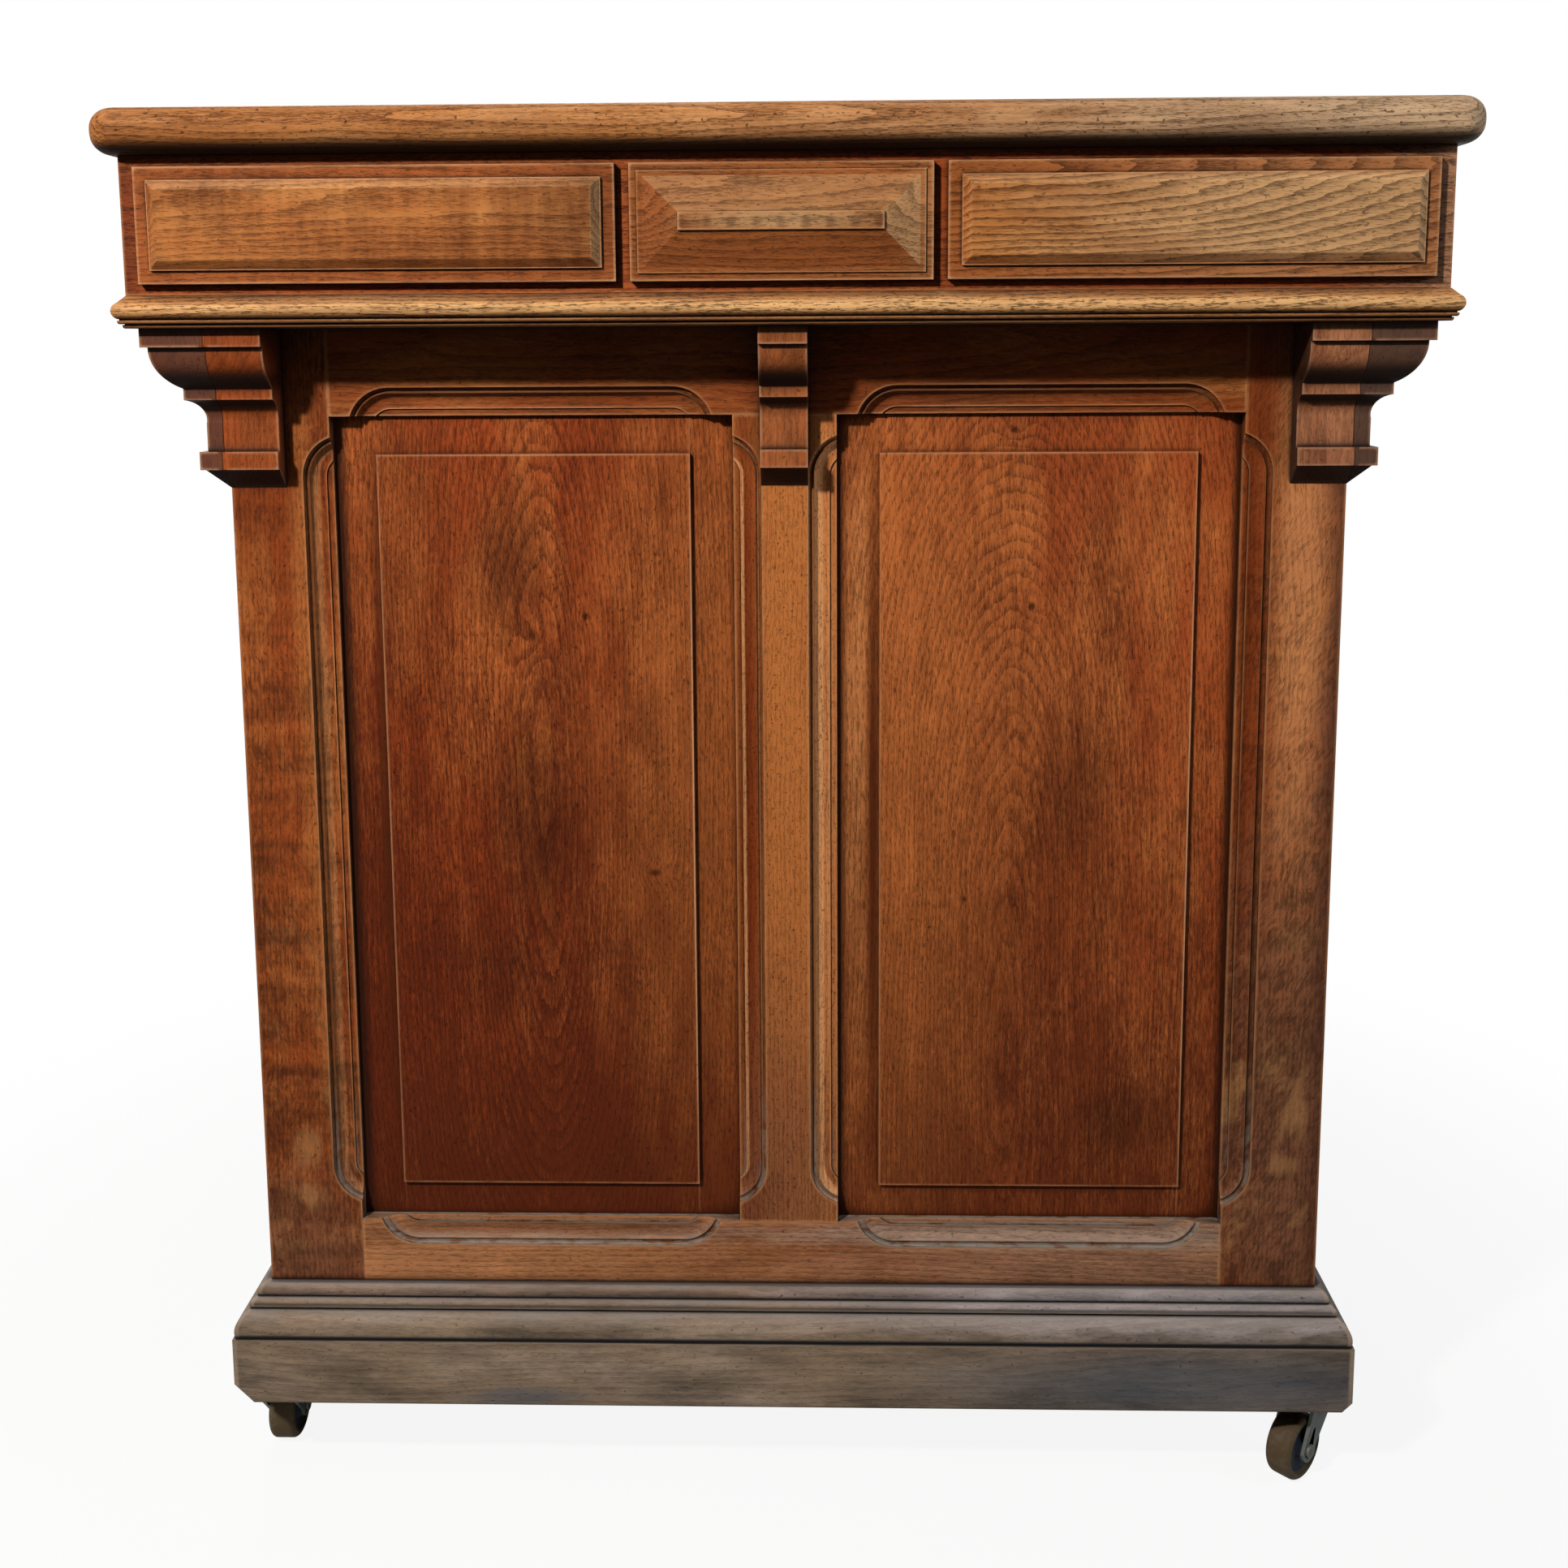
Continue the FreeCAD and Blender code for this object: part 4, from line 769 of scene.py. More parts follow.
@dataclass(frozen=True)
class Edges:
    """How the edges of a piece are rounded and shaded, in metres and radians."""

    arris: float = 0.0006
    fold: float = math.radians(38.0)
    weld: float = 0.000002
    flat: float = math.radians(0.2)
    segments: int = 2

    def shading(self) -> bpy.types.NodeTree:
        """Geometry nodes that shade a mesh smooth across folds gentler than fold.

        Returns:
            The node group, which is made once for each fold.
        """
        name = f"shading_{math.degrees(self.fold):.0f}"
        if name in bpy.data.node_groups:
            return bpy.data.node_groups[name]
        group = bpy.data.node_groups.new(name, "GeometryNodeTree")
        for way in ("INPUT", "OUTPUT"):
            group.interface.new_socket("Geometry", in_out=way, socket_type="NodeSocketGeometry")
        entry = group.nodes.new("NodeGroupInput")
        leave = group.nodes.new("NodeGroupOutput")
        faces = group.nodes.new("GeometryNodeSetShadeSmooth")
        faces.domain = "FACE"
        edges = group.nodes.new("GeometryNodeSetShadeSmooth")
        edges.domain = "EDGE"
        angle = group.nodes.new("GeometryNodeInputMeshEdgeAngle")
        gentle = group.nodes.new("FunctionNodeCompare")
        gentle.data_type = "FLOAT"
        gentle.operation = "LESS_THAN"
        gentle.inputs[1].default_value = self.fold
        group.links.new(angle.outputs["Unsigned Angle"], gentle.inputs[0])
        group.links.new(entry.outputs[0], faces.inputs["Geometry"])
        group.links.new(faces.outputs[0], edges.inputs["Geometry"])
        group.links.new(gentle.outputs[0], edges.inputs["Shade Smooth"])
        group.links.new(edges.outputs[0], leave.inputs[0])
        return group

    def soften(self, node: bpy.types.Object) -> None:
        """Rounds the edges of a CAD node with modifiers.

        Args:
            node: The CAD node.
        """
        weld = node.modifiers.new("weld", "WELD")
        weld.merge_threshold = self.weld
        flats = node.modifiers.new("flats", "DECIMATE")
        flats.decimate_type = "DISSOLVE"
        flats.angle_limit = self.flat
        edge = node.modifiers.new("arris", "BEVEL")
        edge.width = self.arris
        edge.segments = self.segments
        edge.limit_method = "ANGLE"
        edge.angle_limit = self.fold
        shading = node.modifiers.new("shading", "NODES")
        shading.node_group = self.shading()
        normals = node.modifiers.new("normals", "WEIGHTED_NORMAL")
        normals.keep_sharp = True


def dress(name: str, material: bpy.types.Material, edges: Edges) -> None:
    """Gives a CAD node its material and its soft edges.

    Args:
        name: The CAD node.
        material: What it is made of.
        edges: How its edges are rounded.
    """
    node = frame["nodes"][name]
    for place in node.material_slots:
        place.material = material
    edges.soften(node)
    LOG.info("dressed %s", name)


@dataclass
class Joinery:
    """Boards of one finish."""

    finish: Oak
    edges: Edges = Edges()

    def boards(self) -> dict[str, Board]:
        """Boards by the name of their CAD node, which each sub-assembly gives."""
        raise NotImplementedError

    def dress(self) -> None:
        """Dresses every board."""
        for name, board in self.boards().items():
            dress(name, self.finish.material(name, board), self.edges)


@dataclass
class CounterTop(Joinery):
    """The two boards of the top."""

    finish: Oak = Oak(
        light=(0.42, 0.165, 0.047),
        gold=(0.50, 0.245, 0.100),
        dark=(0.140, 0.046, 0.012),
        worn=(0.50, 0.27, 0.115),
        sun=(0.63, 0.42, 0.250),
        mottling=0.5,
        streaks=0.75,
        fibres=0.4,
        grit=0.15,
        pitting=0.58,
        wear=0.35,
        specks=0.7,
        low_darkening=0.0,
    )
    # paler towards the right end: faded wood and painted sheen
    faded: tuple[Mark, ...] = (Mark(Trace.SUN, -0.28, 0.56, 0.60, 0.52, 0.95, 0.6),)

    def boards(self) -> dict[str, Board]:
        """Says how each board was cut and used.

        Returns:
            The boards by the name of their CAD node.
        """
        return {
            # under paints shade on the underside of the rounded front edge
            "top_board_front": Board(
                Grain.LEVEL_TOP, 1.3, heart_side=-0.25, heart_deep=0.05, under=0.9, marks=self.faded
            ),
            "top_board_rear": Board(
                Grain.LEVEL_TOP, 2.9, heart_side=0.10, heart_deep=-0.04, under=0.9, marks=self.faded
            ),
        }


@dataclass
class Cornice(Joinery):
    """Lengths of the moulding under the frieze: a worn rounded front with a painted highlight, over a bead
    moulding painted dark as shade.
    """

    finish: Oak = Oak(
        light=(0.46, 0.185, 0.055),
        gold=(0.58, 0.300, 0.120),
        dark=(0.130, 0.040, 0.011),
        sun=(0.64, 0.375, 0.160),
        oil=(0.22, 0.092, 0.036),
        mottling=0.5,
        streaks=1.2,
        fibres=0.4,
        grit=0.15,
        pitting=0.75,
        wear=0.30,
        groove=0.6,
        low_darkening=0.0,
    )
    edges: Edges = Edges(arris=0.0004)
    # painted highlight along the rounded front
    nose_highlight: Mark = Mark(Trace.SUN, 0.8965, 0.15, 0.0065, 1.3, 0.80, 0.6)
    roll: Mark = Mark(Trace.OIL, 0.9040, 0.0, 0.0036, 9.0, 0.55, 0.5)
    # painted shade on the bead moulding below the rounded front
    bead_shade: Mark = Mark(Trace.STAIN, 0.8855, 0.0, 0.0065, 9.0, 0.80, 0.3)

    def boards(self) -> dict[str, Board]:
        """Says how each board was cut and used.

        Returns:
            The boards by the name of their CAD node.
        """
        front = (self.nose_highlight, self.roll, self.bead_shade)
        return {
            # under paints shade on the underside of the rounded front
            "cornice_front": Board(
                Grain.LEVEL_FRONT, 4.1, heart_side=0.05, shade=-0.15, under=0.5, marks=front
            ),
            # slope paints highlight on faces tilted up and shade on those tilted down
            "cornice_left": Board(Grain.LEVEL_SIDE, 5.7, slope=0.25, marks=(self.bead_shade,)),
            "cornice_right": Board(Grain.LEVEL_SIDE, 6.3, slope=0.25, marks=(self.bead_shade,)),
        }


@dataclass
class Frieze(Joinery):
    """Frieze boards."""

    finish: Oak = Oak(
        light=(0.34, 0.070, 0.016),
        gold=(0.36, 0.094, 0.024),
        dark=(0.150, 0.027, 0.006),
        shadow=0.15,
        groove=0.20,
        crease=0.6,
        low_darkening=0.0,
    )
    # paler right end: faded wood and painted sheen
    pale_end: Mark = Mark(Trace.SUN, 0.95, 0.46, 0.25, 0.09, 0.75, 0.6)
    dark_end: Mark = Mark(Trace.STAIN, 0.96, -0.448, 0.20, 0.018, 0.55, 0.6)

    def boards(self) -> dict[str, Board]:
        """Says how each board was cut and used.

        Returns:
            The boards by the name of their CAD node.
        """
        return {
            "frieze_front": Board(Grain.LEVEL_FRONT, 7.9, marks=(self.pale_end, self.dark_end)),
            "frieze_left": Board(Grain.LEVEL_SIDE, 8.3, gold=0.5),
            "frieze_right": Board(Grain.LEVEL_SIDE, 9.1, gold=0.5),
        }


@dataclass
class FriezePanels(Joinery):
    """The three panels applied to the frieze, with crisp facets."""

    finish: Oak = Oak(
        light=(0.34, 0.110, 0.028),
        gold=(0.42, 0.172, 0.050),
        dark=(0.130, 0.038, 0.010),
        worn=(0.50, 0.27, 0.13),
        sun=(0.60, 0.36, 0.170),
        varnish=(0.31, 0.085, 0.022),
        mottling=0.5,
        streaks=0.22,
        fibres=0.45,
        grit=0.2,
        pitting=0.45,
        low_darkening=0.0,
    )
    edges: Edges = Edges(arris=0.0005, fold=math.radians(6.0))
    # pale marks: faded wood with painted sheen at the right end and on the bar, painted highlight on the
    # centre panel's right-facing hip
    pale_end: Mark = Mark(Trace.SUN, 0.952, 0.36, 0.20, 0.22, 0.75, 0.6)
    pale_bar: Mark = Mark(Trace.SUN, 0.953, 0.0, 0.0085, 0.090, 0.75, 0.4)
    pale_hip: Mark = Mark(Trace.SUN, 0.952, 0.105, 0.060, 0.030, 0.50, 0.4)
    red_end: Mark = Mark(Trace.STAIN, 0.952, -0.13, 0.05, 0.045, 0.25)
    knock: Mark = Mark(Trace.STAIN, 0.9515, 0.0, 0.0060, 0.0045, 0.42, 1.2)
    knock_pitch: float = 0.0165
    knocks_each_side: int = 4

    def boards(self) -> dict[str, Board]:
        """Says how each board was cut and used.

        Returns:
            The boards by the name of their CAD node.
        """
        steps = range(-self.knocks_each_side, self.knocks_each_side + 1)
        knocks = [replace(self.knock, along=self.knock_pitch * step) for step in steps]
        return {
            # slope and glare paint highlight and shade on the facets by the way they face
            "frieze_panel_left": Board(
                Grain.LEVEL_FRONT, 10.7, ripple=1.2, gold=0.1, slope=0.25, glare=0.6, rim=1.0,
                marks=(self.red_end,),
            ),
            "frieze_panel_centre": Board(
                Grain.LEVEL_FRONT, 11.9, shade=0.05, gold=-0.1, slope=0.30, glare=0.6, rim=0.5,
                marks=(self.pale_bar, self.pale_hip, *knocks),
            ),
            "frieze_panel_right": Board(
                Grain.LEVEL_FRONT, 12.3, heart_side=0.035, heart_deep=0.012, crest=-0.17, bow=0.30,
                ring=0.0050, figure=2.4, ripple=0.3, slope=0.25, glare=0.6, rim=0.7,
                marks=(self.pale_end,),
            ),
        }


@dataclass
class Carcass(Joinery):
    """Posts, muntin and rails."""

    finish: Oak = Oak(
        light=(0.28, 0.060, 0.013),
        gold=(0.40, 0.130, 0.033),
        dark=(0.080, 0.020, 0.006),
        sun=(0.66, 0.295, 0.116),
        varnish=(0.155, 0.028, 0.0055),
        oil=(0.18, 0.072, 0.036),
        dust=(0.36, 0.26, 0.20),
        mottling=0.55,
        streaks=0.3,
        fibres=0.6,
        grit=0.35,
        figure=0.12,
        pitting=0.34,
        worn=(0.46, 0.22, 0.095),
        groove=0.25,
        crease=0.75,
        wear=0.5,
        low_darkening=0.32,
    )
    edges: Edges = Edges(arris=0.0007)
    left_scuffs: tuple[Mark, ...] = (
        Mark(Trace.VARNISH, -0.38, 0.80, 0.14, 0.17, 0.70, 0.8),
        Mark(Trace.BLEACH, -0.350, 0.62, 0.014, 0.45, 0.60, 1.0),
        Mark(Trace.OIL, -0.380, 0.15, 0.120, 0.12, 0.80, 0.8),
        Mark(Trace.SCUFF, -0.366, 0.268, 0.011, 0.022, 0.32, 3.0),
        Mark(Trace.SCUFF, -0.364, 0.226, 0.014, 0.012, 0.32, 3.0),
    )
    right_scuffs: tuple[Mark, ...] = (
        # painted sheen with some fading on the right post's face
        Mark(Trace.SUN, 0.370, 0.70, 0.035, 0.45, 0.50, 0.8),
        Mark(Trace.VARNISH, 0.338, 0.62, 0.022, 0.75, 0.9, 0.6),
        Mark(Trace.OIL, 0.390, 0.26, 0.120, 0.34, 0.95, 0.6),
        Mark(Trace.OIL, 0.402, 0.62, 0.024, 0.55, 0.80, 1.0),
        Mark(Trace.STAIN, 0.404, 0.60, 0.018, 3.0, 0.60, 1.0),
        Mark(Trace.SCUFF, 0.380, 0.300, 0.010, 0.030, 0.30, 3.0),
        Mark(Trace.SCUFF, 0.372, 0.255, 0.012, 0.010, 0.30, 3.0),
    )
    sill_fade: tuple[Mark, ...] = (
        Mark(Trace.BLEACH, 0.165, -0.22, 0.20, 0.32, 0.80, 0.8),
        # paler sill: faded wood and painted sheen
        Mark(Trace.SUN, 0.165, -0.22, 0.20, 0.28, 0.35, 0.8),
        Mark(Trace.SUN, 0.165, 0.27, 0.20, 0.34, 0.22, 0.8),
        Mark(Trace.DUST, 0.165, 0.27, 0.20, 0.36, 0.35, 0.8),
        Mark(Trace.DUST, 0.165, -0.22, 0.20, 0.30, 0.15, 0.8),
        Mark(Trace.OIL, 0.197, -0.18, 0.011, 0.22, 0.70, 0.6),
        Mark(Trace.DUST, 0.197, 0.18, 0.014, 0.30, 0.70, 0.8),
    )
    old_coat: tuple[Mark, ...] = (
        Mark(Trace.BLEACH, 0.0, 0.60, 0.030, 0.34, 1.0, 0.6),
        # pale wash on the muntin's right moulding: fading and painted sheen
        Mark(Trace.SUN, 0.027, 0.55, 0.012, 0.40, 0.35, 0.8),
        Mark(Trace.VARNISH, -0.028, 0.50, 0.015, 0.75, 1.0, 0.6),
        Mark(Trace.OIL, 0.0, 0.22, 0.060, 0.24, 0.55, 0.8),
    )

    def boards(self) -> dict[str, Board]:
        """Says how each board was cut and used.

        Returns:
            The boards by the name of their CAD node.
        """
        return {
            # glare paints sheen on faces turned to +X, such as the mouldings
            "corner_post_front_left": Board(
                Grain.UPRIGHT_FRONT, 13.1, heart_side=0.16, shade=-0.08, curl=0.022, dapple=0.22, ripple=1.2,
                flame=0.25, glare=0.32, chalk=0.35, marks=self.left_scuffs,
            ),
            "corner_post_front_right": Board(
                Grain.UPRIGHT_FRONT, 14.9, heart_side=-0.16, shade=-0.30, tilt=0.30, curl=0.022, dapple=0.42,
                ripple=0.9, flame=0.35, chalk=0.35, marks=self.right_scuffs,
            ),
            "corner_post_rear_left": Board(Grain.UPRIGHT_FRONT, 15.3, heart_side=0.12, dapple=0.3),
            "corner_post_rear_right": Board(Grain.UPRIGHT_FRONT, 16.1, heart_side=-0.12, dapple=0.3),
            "front_muntin": Board(
                Grain.UPRIGHT_FRONT, 17.7, heart_side=0.2, shade=-0.36, gold=0.7, curl=0.010, stipple=0.55,
                glare=1.0, chalk=0.35, marks=self.old_coat,
            ),
            "front_rail_top": Board(Grain.LEVEL_FRONT, 18.3),
            "front_rail_bottom": Board(
                Grain.LEVEL_FRONT, 19.9, heart_side=-0.05, shade=-0.2, gold=0.5, chalk=0.5, dust=0.55,
                marks=self.sill_fade,
            ),
            "side_rail_top_left": Board(Grain.LEVEL_SIDE, 20.3),
            "side_rail_top_right": Board(Grain.LEVEL_SIDE, 21.1),
            "side_rail_bottom_left": Board(Grain.LEVEL_SIDE, 22.7, dust=0.4),
            "side_rail_bottom_right": Board(Grain.LEVEL_SIDE, 23.3, dust=0.4),
        }


@dataclass
class Panels(Joinery):
    """Front and side panels."""

    finish: Oak = Oak(
        light=(0.33, 0.060, 0.013),
        gold=(0.48, 0.132, 0.032),
        dark=(0.085, 0.014, 0.004),
        blotch=0.7,
        mottling=0.6,
        streaks=0.5,
        grit=0.5,
        figure=0.11,
        pitting=0.5,
        stain=(0.060, 0.012, 0.003),
        sun=(0.55, 0.235, 0.085),
        scuff=(0.54, 0.29, 0.155),
        worn=(0.46, 0.21, 0.095),
        groove=0.55,
        crease=0.15,
        wear=0.5,
        low_darkening=0.42,
    )
    edges: Edges = Edges(arris=0.0005)
    left_marks: tuple[Mark, ...] = (
        Mark(Trace.BLEACH, -0.040, 0.58, 0.130, 0.45, 1.0, 0.8),
        Mark(Trace.GRIME, -0.205, 0.715, 0.034, 0.075, 0.50),
        Mark(Trace.GRIME, -0.190, 0.520, 0.045, 0.110, 0.42),
        Mark(Trace.GRIME, -0.215, 0.405, 0.030, 0.050, 0.42),
        Mark(Trace.STAIN, -0.180, 0.200, 0.30, 0.150, 0.40, 1.0),
        Mark(Trace.KNOT, -0.186, 0.659, 0.005, 0.008, 0.8),
        Mark(Trace.KNOT, -0.147, 0.674, 0.0025, 0.004, 0.9),
        Mark(Trace.KNOT, -0.099, 0.480, 0.007, 0.004, 0.8),
        # dark band beside the post: painted shade and soiling
        Mark(Trace.GRIME, -0.327, 0.5, 0.011, 5.0, 0.95, 0.4),
        Mark(Trace.VARNISH, -0.285, 0.74, 0.060, 0.16, 0.50, 0.8),
        # painted shade in the cove left of the field
        Mark(Trace.STAIN, -0.2998, 0.513, 0.0052, 0.34, 0.80, 0.5),
        Mark(Trace.SCUFF, -0.2958, 0.513, 0.0009, 0.36, 0.18, 0.4),
        Mark(Trace.SCUFF, -0.0690, 0.513, 0.0009, 0.36, 0.75, 0.6),
        Mark(Trace.SCUFF, -0.182, 0.7924, 0.130, 0.0010, 0.32, 0.6),
        # painted shadow under the field's bottom edge
        Mark(Trace.STAIN, -0.182, 0.2293, 0.125, 0.0042, 0.60, 0.5),
    )
    right_marks: tuple[Mark, ...] = (
        Mark(Trace.BLEACH, 0.075, 0.55, 0.120, 0.50, 1.0, 0.8),
        # pale washes on this panel: fading and painted sheen
        Mark(Trace.SUN, 0.20, 0.50, 0.50, 0.90, 0.06, 0.8),
        Mark(Trace.VARNISH, 0.190, 0.470, 0.085, 0.160, 0.35, 0.8),
        Mark(Trace.GRIME, 0.250, 0.290, 0.045, 0.035, 0.45),
        Mark(Trace.GRIME, 0.215, 0.545, 0.030, 0.080, 0.28),
        Mark(Trace.STAIN, 0.200, 0.200, 0.30, 0.150, 0.30, 1.0),
        Mark(Trace.KNOT, 0.132, 0.460, 0.0028, 0.004, 0.9),
        Mark(Trace.KNOT, 0.179, 0.681, 0.0030, 0.004, 0.8),
        Mark(Trace.KNOT, 0.166, 0.809, 0.0040, 0.004, 0.8),
        # dark bands beside the muntin and the post: painted shade and soiling
        Mark(Trace.GRIME, 0.037, 0.5, 0.009, 5.0, 0.9, 0.4),
        Mark(Trace.GRIME, 0.328, 0.5, 0.008, 5.0, 0.9, 0.4),
        Mark(Trace.SUN, 0.052, 0.58, 0.014, 0.30, 0.45, 0.8),
        # painted shade in the cove left of the field
        Mark(Trace.STAIN, 0.0638, 0.513, 0.0060, 0.34, 0.95, 0.5),
        Mark(Trace.SCUFF, 0.2957, 0.513, 0.0009, 0.36, 0.65, 0.6),
        Mark(Trace.SCUFF, 0.182, 0.7924, 0.130, 0.0010, 0.32, 0.6),
        # painted shadow under the field's bottom edge
        Mark(Trace.STAIN, 0.182, 0.2293, 0.125, 0.0042, 0.60, 0.5),
    )

    def boards(self) -> dict[str, Board]:
        """Says how each board was cut and used.

        Returns:
            The boards by the name of their CAD node.
        """
        return {
            "front_panel_left": Board(
                Grain.UPRIGHT_FRONT, 24.9, heart_side=0.0, heart_deep=0.012, crest=0.06, bow=0.40,
                shade=0.06, marks=self.left_marks,
            ),
            "front_panel_right": Board(
                Grain.UPRIGHT_FRONT, 25.3, heart_side=-0.017, heart_deep=0.010, crest=-0.15, bow=0.36,
                figure=0.65, shade=-0.08, gold=0.1, marks=self.right_marks,
            ),
            "side_panel_left": Board(Grain.UPRIGHT_SIDE, 26.1, heart_deep=0.02, bow=0.2),
            "side_panel_right": Board(Grain.UPRIGHT_SIDE, 27.7, heart_deep=-0.02, bow=0.2),
        }


@dataclass
class Corbels(Joinery):
    """Brackets under the cornice."""

    finish: Oak = Oak(
        light=(0.31, 0.068, 0.017),
        gold=(0.42, 0.130, 0.040),
        dark=(0.062, 0.013, 0.004),
        stain=(0.036, 0.024, 0.020),
        sun=(0.52, 0.230, 0.115),
        varnish=(0.31, 0.064, 0.013),
        figure=0.05,
        blotch=1.4,
        streaks=0.2,
        fibres=0.5,
        grit=0.25,
        pitting=0.3,
        worn=(0.40, 0.21, 0.12),
        # strong painted shade in recesses and grooves
        shadow=0.85,
        groove=0.75,
        wear=0.65,
        low_darkening=0.0,
    )
    edges: Edges = Edges(arris=0.0004)
    names: tuple[str, ...] = ("centre", "front_left", "front_right", "side_left", "side_right")
    first_seed: float = 28.0
    seam: float = 0.4
    in_lee: str = "front_right"
    lee: float = 0.85
    faded: tuple[Mark, ...] = (
        # paler right corbels: fading and painted sheen
        Mark(Trace.SUN, 0.44, 0.84, 0.16, 0.20, 0.72, 0.8),
        Mark(Trace.BLEACH, 0.0, 0.83, 0.10, 0.20, 0.70, 0.6),
        Mark(Trace.VARNISH, -0.40, 0.83, 0.20, 0.20, 0.60, 0.8),
        # painted shadow band on the fillet below the ovolo
        Mark(Trace.GRIME, 0.0, 0.847, 9.0, 0.010, 0.75, 0.3),
    )
    stained_left: Mark = Mark(Trace.STAIN, -0.43, 0.83, 0.20, 0.30, 0.72, 0.8)
    stained_right: Mark = Mark(Trace.STAIN, 0.43, 0.83, 0.20, 0.30, 0.82, 0.8)

    def boards(self) -> dict[str, Board]:
        """Says how each board was cut and used.

        Returns:
            The boards by the name of their CAD node.
        """
        stained = {"side_left": (self.stained_left,), "side_right": (self.stained_right,)}
        boards = {}
        for place, name in enumerate(self.names):
            seam = self.seam if "right" in name else -self.seam
            # under, slope and lee paint shade under the ovolo, highlight and shade by tilt, and shade on the
            # right corbel's left face
            boards[f"corbel_{name}"] = Board(
                Grain.UPRIGHT_FRONT, self.first_seed + place, slope=0.10, under=0.95, seam=seam,
                lee=self.lee if name == self.in_lee else 0.0, marks=self.faded + stained.get(name, ()),
            )
        boards["corbels_rear"] = Board(Grain.UPRIGHT_SIDE, 34.3)
        return boards


@dataclass
class Plinth(Joinery):
    """Plinth boards and the rear rail, scrubbed and knocked near the floor."""

    finish: Oak = Oak(
        light=(0.235, 0.164, 0.108),
        gold=(0.29, 0.215, 0.160),
        dark=(0.055, 0.042, 0.032),
        pore=(0.018, 0.015, 0.012),
        worn=(0.28, 0.205, 0.15),
        stain=(0.044, 0.058, 0.076),
        sun=(0.37, 0.33, 0.34),
        dust=(0.30, 0.25, 0.215),
        grime=(0.010, 0.008, 0.007),
        blotch=1.4,
        mottling=1.1,
        streaks=0.22,
        fibres=0.3,
        grit=0.3,
        figure=0.07,
        pitting=0.2,
        low_darkening=0.0,
    )
    edges: Edges = Edges(arris=0.0010)
    scrubs: tuple[Mark, ...] = (
        Mark(Trace.OIL, 0.162, 0.0, 0.026, 9.0, 0.35),
        # pale wash: fading and painted sheen
        Mark(Trace.SUN, 0.150, 0.30, 0.030, 0.35, 0.85, 0.8),
        Mark(Trace.STAIN, 0.09, 0.31, 0.040, 0.28, 0.65, 0.6),
        Mark(Trace.STAIN, 0.076, -0.2, 0.012, 0.06, 0.6),
        # dark lines in the moulding's hollows: painted shade and soiling
        Mark(Trace.GRIME, 0.1221, 0.0, 0.0026, 9.0, 0.80, 0.3),
        Mark(Trace.GRIME, 0.1433, 0.0, 0.0022, 9.0, 0.75, 0.3),
    )

    def boards(self) -> dict[str, Board]:
        """Says how each board was cut and used.

        Returns:
            The boards by the name of their CAD node.
        """
        return {
            # under paints shade on the undersides of the moulding
            "plinth_front": Board(Grain.LEVEL_FRONT, 35.1, under=0.6, dust=0.55, marks=self.scrubs),
            "plinth_left": Board(Grain.LEVEL_SIDE, 36.7, dust=0.55),
            "plinth_right": Board(Grain.LEVEL_SIDE, 37.3, shade=0.3, dust=0.55),
            "rear_rail": Board(Grain.LEVEL_FRONT, 38.9),
        }


@dataclass
class Interior(Joinery):
    """Boards and drawer boxes behind the front."""

    finish: Oak = Oak(
        light=(0.36, 0.200, 0.090),
        gold=(0.42, 0.260, 0.130),
        dark=(0.190, 0.092, 0.036),
        pore=(0.07, 0.03, 0.012),
        low_darkening=0.0,
    )
    edges: Edges = Edges(arris=0.0005)

    def boards(self) -> dict[str, Board]:
        """Says how each board was cut and used.

        Returns:
            The boards by the name of their CAD node.
        """
        return {
            "bottom_board": Board(Grain.LEVEL_TOP, 39.1),
            "shelf": Board(Grain.LEVEL_TOP, 40.7),
            "shelf_battens": Board(Grain.LEVEL_SIDE, 41.3),
            "drawer_deck": Board(Grain.LEVEL_TOP, 42.9),
            "drawer_dividers": Board(Grain.LEVEL_SIDE, 43.1),
            "drawer_left_box": Board(Grain.LEVEL_SIDE, 44.7),
            "drawer_centre_box": Board(Grain.LEVEL_SIDE, 45.3),
            "drawer_right_box": Board(Grain.LEVEL_SIDE, 46.9),
        }


@dataclass
class Drawers(Joinery):
    """Drawer fronts and knobs on the shopkeeper's side."""

    finish: Oak = Oak(
        light=(0.32, 0.115, 0.036),
        gold=(0.38, 0.165, 0.055),
        dark=(0.140, 0.040, 0.010),
        low_darkening=0.0,
    )
    edges: Edges = Edges(arris=0.0007)
    names: tuple[str, ...] = ("left", "centre", "right")
    front_seed: float = 47.1
    knob_seed: float = 51.7
    knob_shade: float = 0.3

    def boards(self) -> dict[str, Board]:
        """Says how each board was cut and used.

        Returns:
            The boards by the name of their CAD node.
        """
        boards = {}
        for place, name in enumerate(self.names):
            boards[f"drawer_{name}_front"] = Board(Grain.LEVEL_FRONT, self.front_seed + place)
            boards[f"drawer_{name}_knobs"] = Board(
                Grain.UPRIGHT_FRONT, self.knob_seed + place, shade=self.knob_shade
            )
        return boards


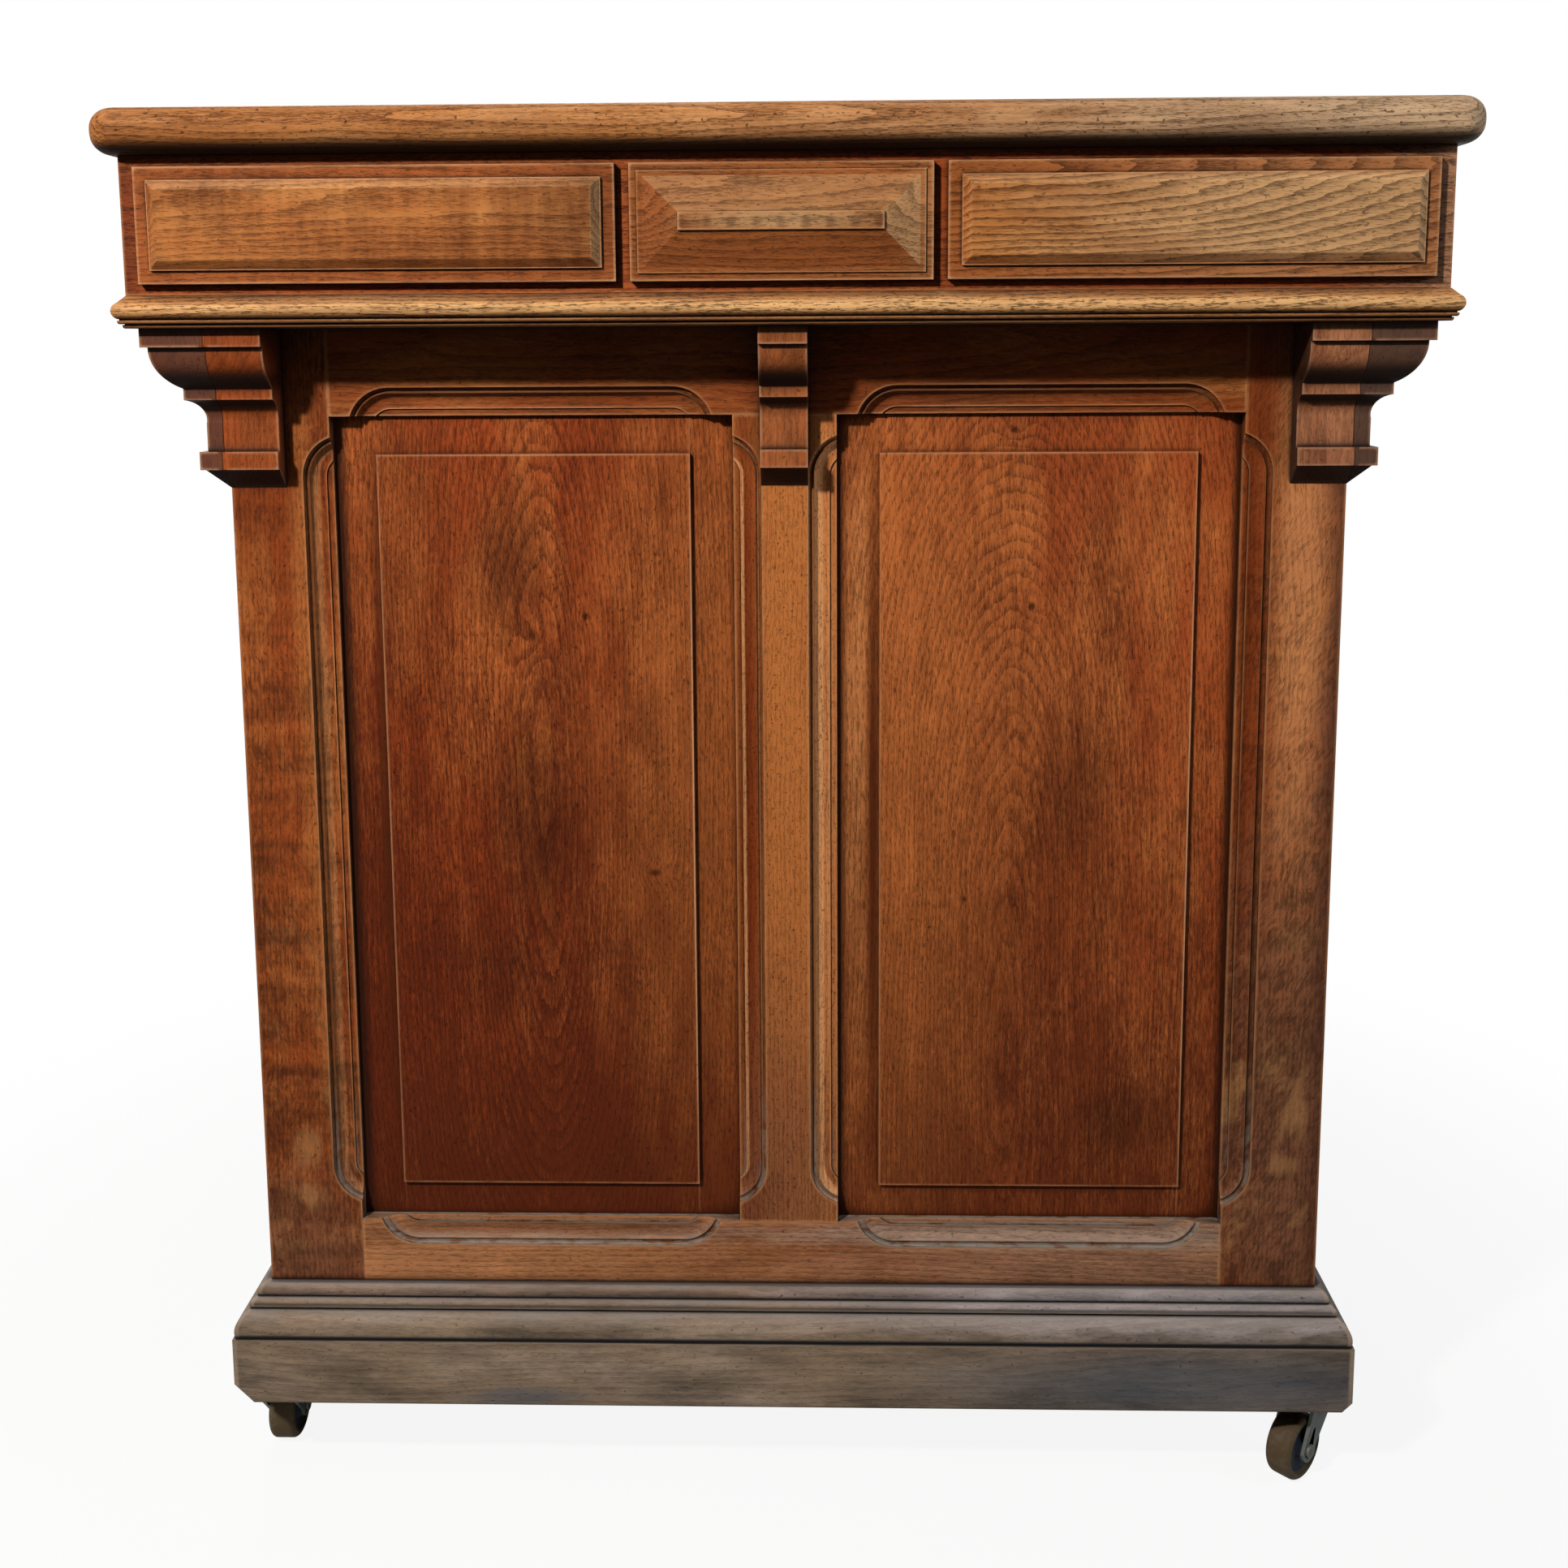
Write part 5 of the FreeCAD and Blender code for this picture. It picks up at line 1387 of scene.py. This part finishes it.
@dataclass
class Castors:
    """Plates, screws, forks and wheels."""

    steel: Steel = Steel()
    tread: Tread = Tread()
    edges: Edges = Edges(arris=0.0004)
    corners: tuple[str, ...] = ("front_left", "front_right", "rear_left", "rear_right")

    def dress(self) -> None:
        """Dresses the metal and the wheels."""
        forks = [f"castor_fork_{corner}" for corner in self.corners]
        for name in ("castor_plates", "castor_screws", *forks):
            dress(name, self.steel.material(name), self.edges)
        joints = {joint["name"]: joint for joint in frame["joints"]}
        for corner in self.corners:
            name = f"castor_wheel_{corner}"
            low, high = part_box(name)
            axle = Vector(joints[f"roll_{corner}"]["axis"])
            dress(name, self.tread.material(name, (low + high) / 2, axle), self.edges)


@dataclass(frozen=True)
class Lamp:
    """A square lamp that faces one spot."""

    name: str
    place: Triple
    aim: Triple
    side: float
    power: float
    colour: Triple

    def hang(self) -> None:
        """Adds the lamp to the scene."""
        lamp = bpy.data.lights.new(self.name, "AREA")
        lamp.size = self.side
        lamp.energy = self.power
        lamp.color = self.colour
        holder = bpy.data.objects.new(self.name, lamp)
        holder.location = self.place
        ray = Vector(self.aim) - Vector(self.place)
        holder.rotation_euler = ray.to_track_quat("-Z", "Y").to_euler()
        bpy.context.scene.collection.objects.link(holder)


@dataclass
class Studio:
    """Floor, light and camera."""

    floor_reach: float = 3.0
    floor_colour: Triple = (0.55, 0.55, 0.55)
    floor_glow: float = 0.90
    floor_near: float = 0.55
    floor_far: float = 1.15
    fill: float = 0.022
    white: Triple = (1.0, 1.0, 1.0)
    lamps: tuple[Lamp, ...] = (
        Lamp("key", (-1.20, -1.77, 2.10), (0.0, -0.2, 0.55), 0.16, 87.0, (1.0, 0.96, 0.90)),
        Lamp("window", (2.30, -0.90, 1.60), (0.25, -0.2, 0.70), 0.7, 26.0, (0.88, 0.94, 1.0)),
        Lamp("rear", (-0.90, 2.50, 1.90), (0.0, 0.1, 0.55), 1.2, 45.0, (1.0, 0.98, 0.95)),
    )
    camera_place: Triple = (0.0295, -1.4387, 0.8758)
    yaw: float = -0.0249
    pitch: float = -0.1388
    roll: float = 0.0059
    focal_pixels: float = 2100.0
    centre_row: float = 708.4
    sensor: float = 36.0
    clip: float = 0.05

    def build(self) -> None:
        """Builds the whole studio."""
        self.lay_floor()
        self.light_world()
        for lamp in self.lamps:
            lamp.hang()
        self.set_camera()
        bpy.context.scene.view_settings.view_transform = "Standard"

    def lay_floor(self) -> None:
        """Pale floor that keeps the shadow and fades into the background."""
        reach = self.floor_reach
        mesh = bpy.data.meshes.new("floor")
        sides = ((-reach, -reach), (reach, -reach), (reach, reach), (-reach, reach))
        mesh.from_pydata([(x, y, 0.0) for x, y in sides], [], [(0, 1, 2, 3)])
        floor = bpy.data.objects.new("floor", mesh)
        bpy.context.scene.collection.objects.link(floor)
        graph = new_graph("pale_floor")
        place = graph.coordinates()
        away = graph.node("ShaderNodeVectorMath", {"operation": "LENGTH"}, {0: place}, "Value")
        seen = graph.node("ShaderNodeLightPath", {}, {}, "Is Camera Ray")
        matt = graph.node("ShaderNodeBsdfDiffuse", {}, {"Color": self.floor_colour})
        glow = graph.node("ShaderNodeEmission", {}, {"Color": self.white, "Strength": 1.0})
        clear = graph.node("ShaderNodeBsdfTransparent", {}, {})
        lit = graph.node("ShaderNodeMixShader", {}, {0: seen * self.floor_glow, 1: matt, 2: glow})
        faded = away.rise(self.floor_near, self.floor_far)
        shader = graph.node("ShaderNodeMixShader", {}, {0: faded, 1: lit, 2: clear})
        mesh.materials.append(graph.close(shader))

    def light_world(self) -> None:
        """White background over a soft grey fill."""
        world = bpy.data.worlds.new("studio")
        bpy.context.scene.world = world
        graph = Graph(world)
        rays = ("Is Camera Ray", "Is Glossy Ray", "Is Transmission Ray")
        camera, glossy, through = (graph.node("ShaderNodeLightPath", {}, {}, ray) for ray in rays)
        seen = graph.math("MAXIMUM", graph.math("MAXIMUM", camera, glossy), through)
        soft = graph.node("ShaderNodeBackground", {}, {"Color": self.white, "Strength": self.fill})
        white = graph.node("ShaderNodeBackground", {}, {"Color": self.white, "Strength": 1.0})
        graph.close(graph.node("ShaderNodeMixShader", {}, {0: seen, 1: soft, 2: white}))

    def set_camera(self) -> None:
        """Camera at the photograph's angle."""
        data = bpy.data.cameras.new("camera")
        data.sensor_width = self.sensor
        data.lens = self.sensor * self.focal_pixels / PHOTO_SIDE
        data.shift_y = self.centre_row / PHOTO_SIDE - 0.5
        data.clip_start = self.clip
        camera = bpy.data.objects.new("camera", data)
        turn = Matrix.Rotation(-self.yaw, 4, "Z") @ Matrix.Rotation(math.pi / 2 + self.pitch, 4, "X")
        turn = turn @ Matrix.Rotation(-self.roll, 4, "Z")
        camera.matrix_world = Matrix.Translation(self.camera_place) @ turn
        bpy.context.scene.collection.objects.link(camera)
        bpy.context.scene.camera = camera


def main() -> None:
    """Dresses the counter and sets the studio."""
    logging.basicConfig(level=logging.INFO)
    assemblies = (
        CounterTop(),
        Cornice(),
        Frieze(),
        FriezePanels(),
        Carcass(),
        Panels(),
        Corbels(),
        Plinth(),
        Interior(),
        Drawers(),
        Castors(),
    )
    for assembly in assemblies:
        assembly.dress()
        LOG.info("finished %s", type(assembly).__name__)
    Studio().build()


if __name__ == "__main__":
    main()
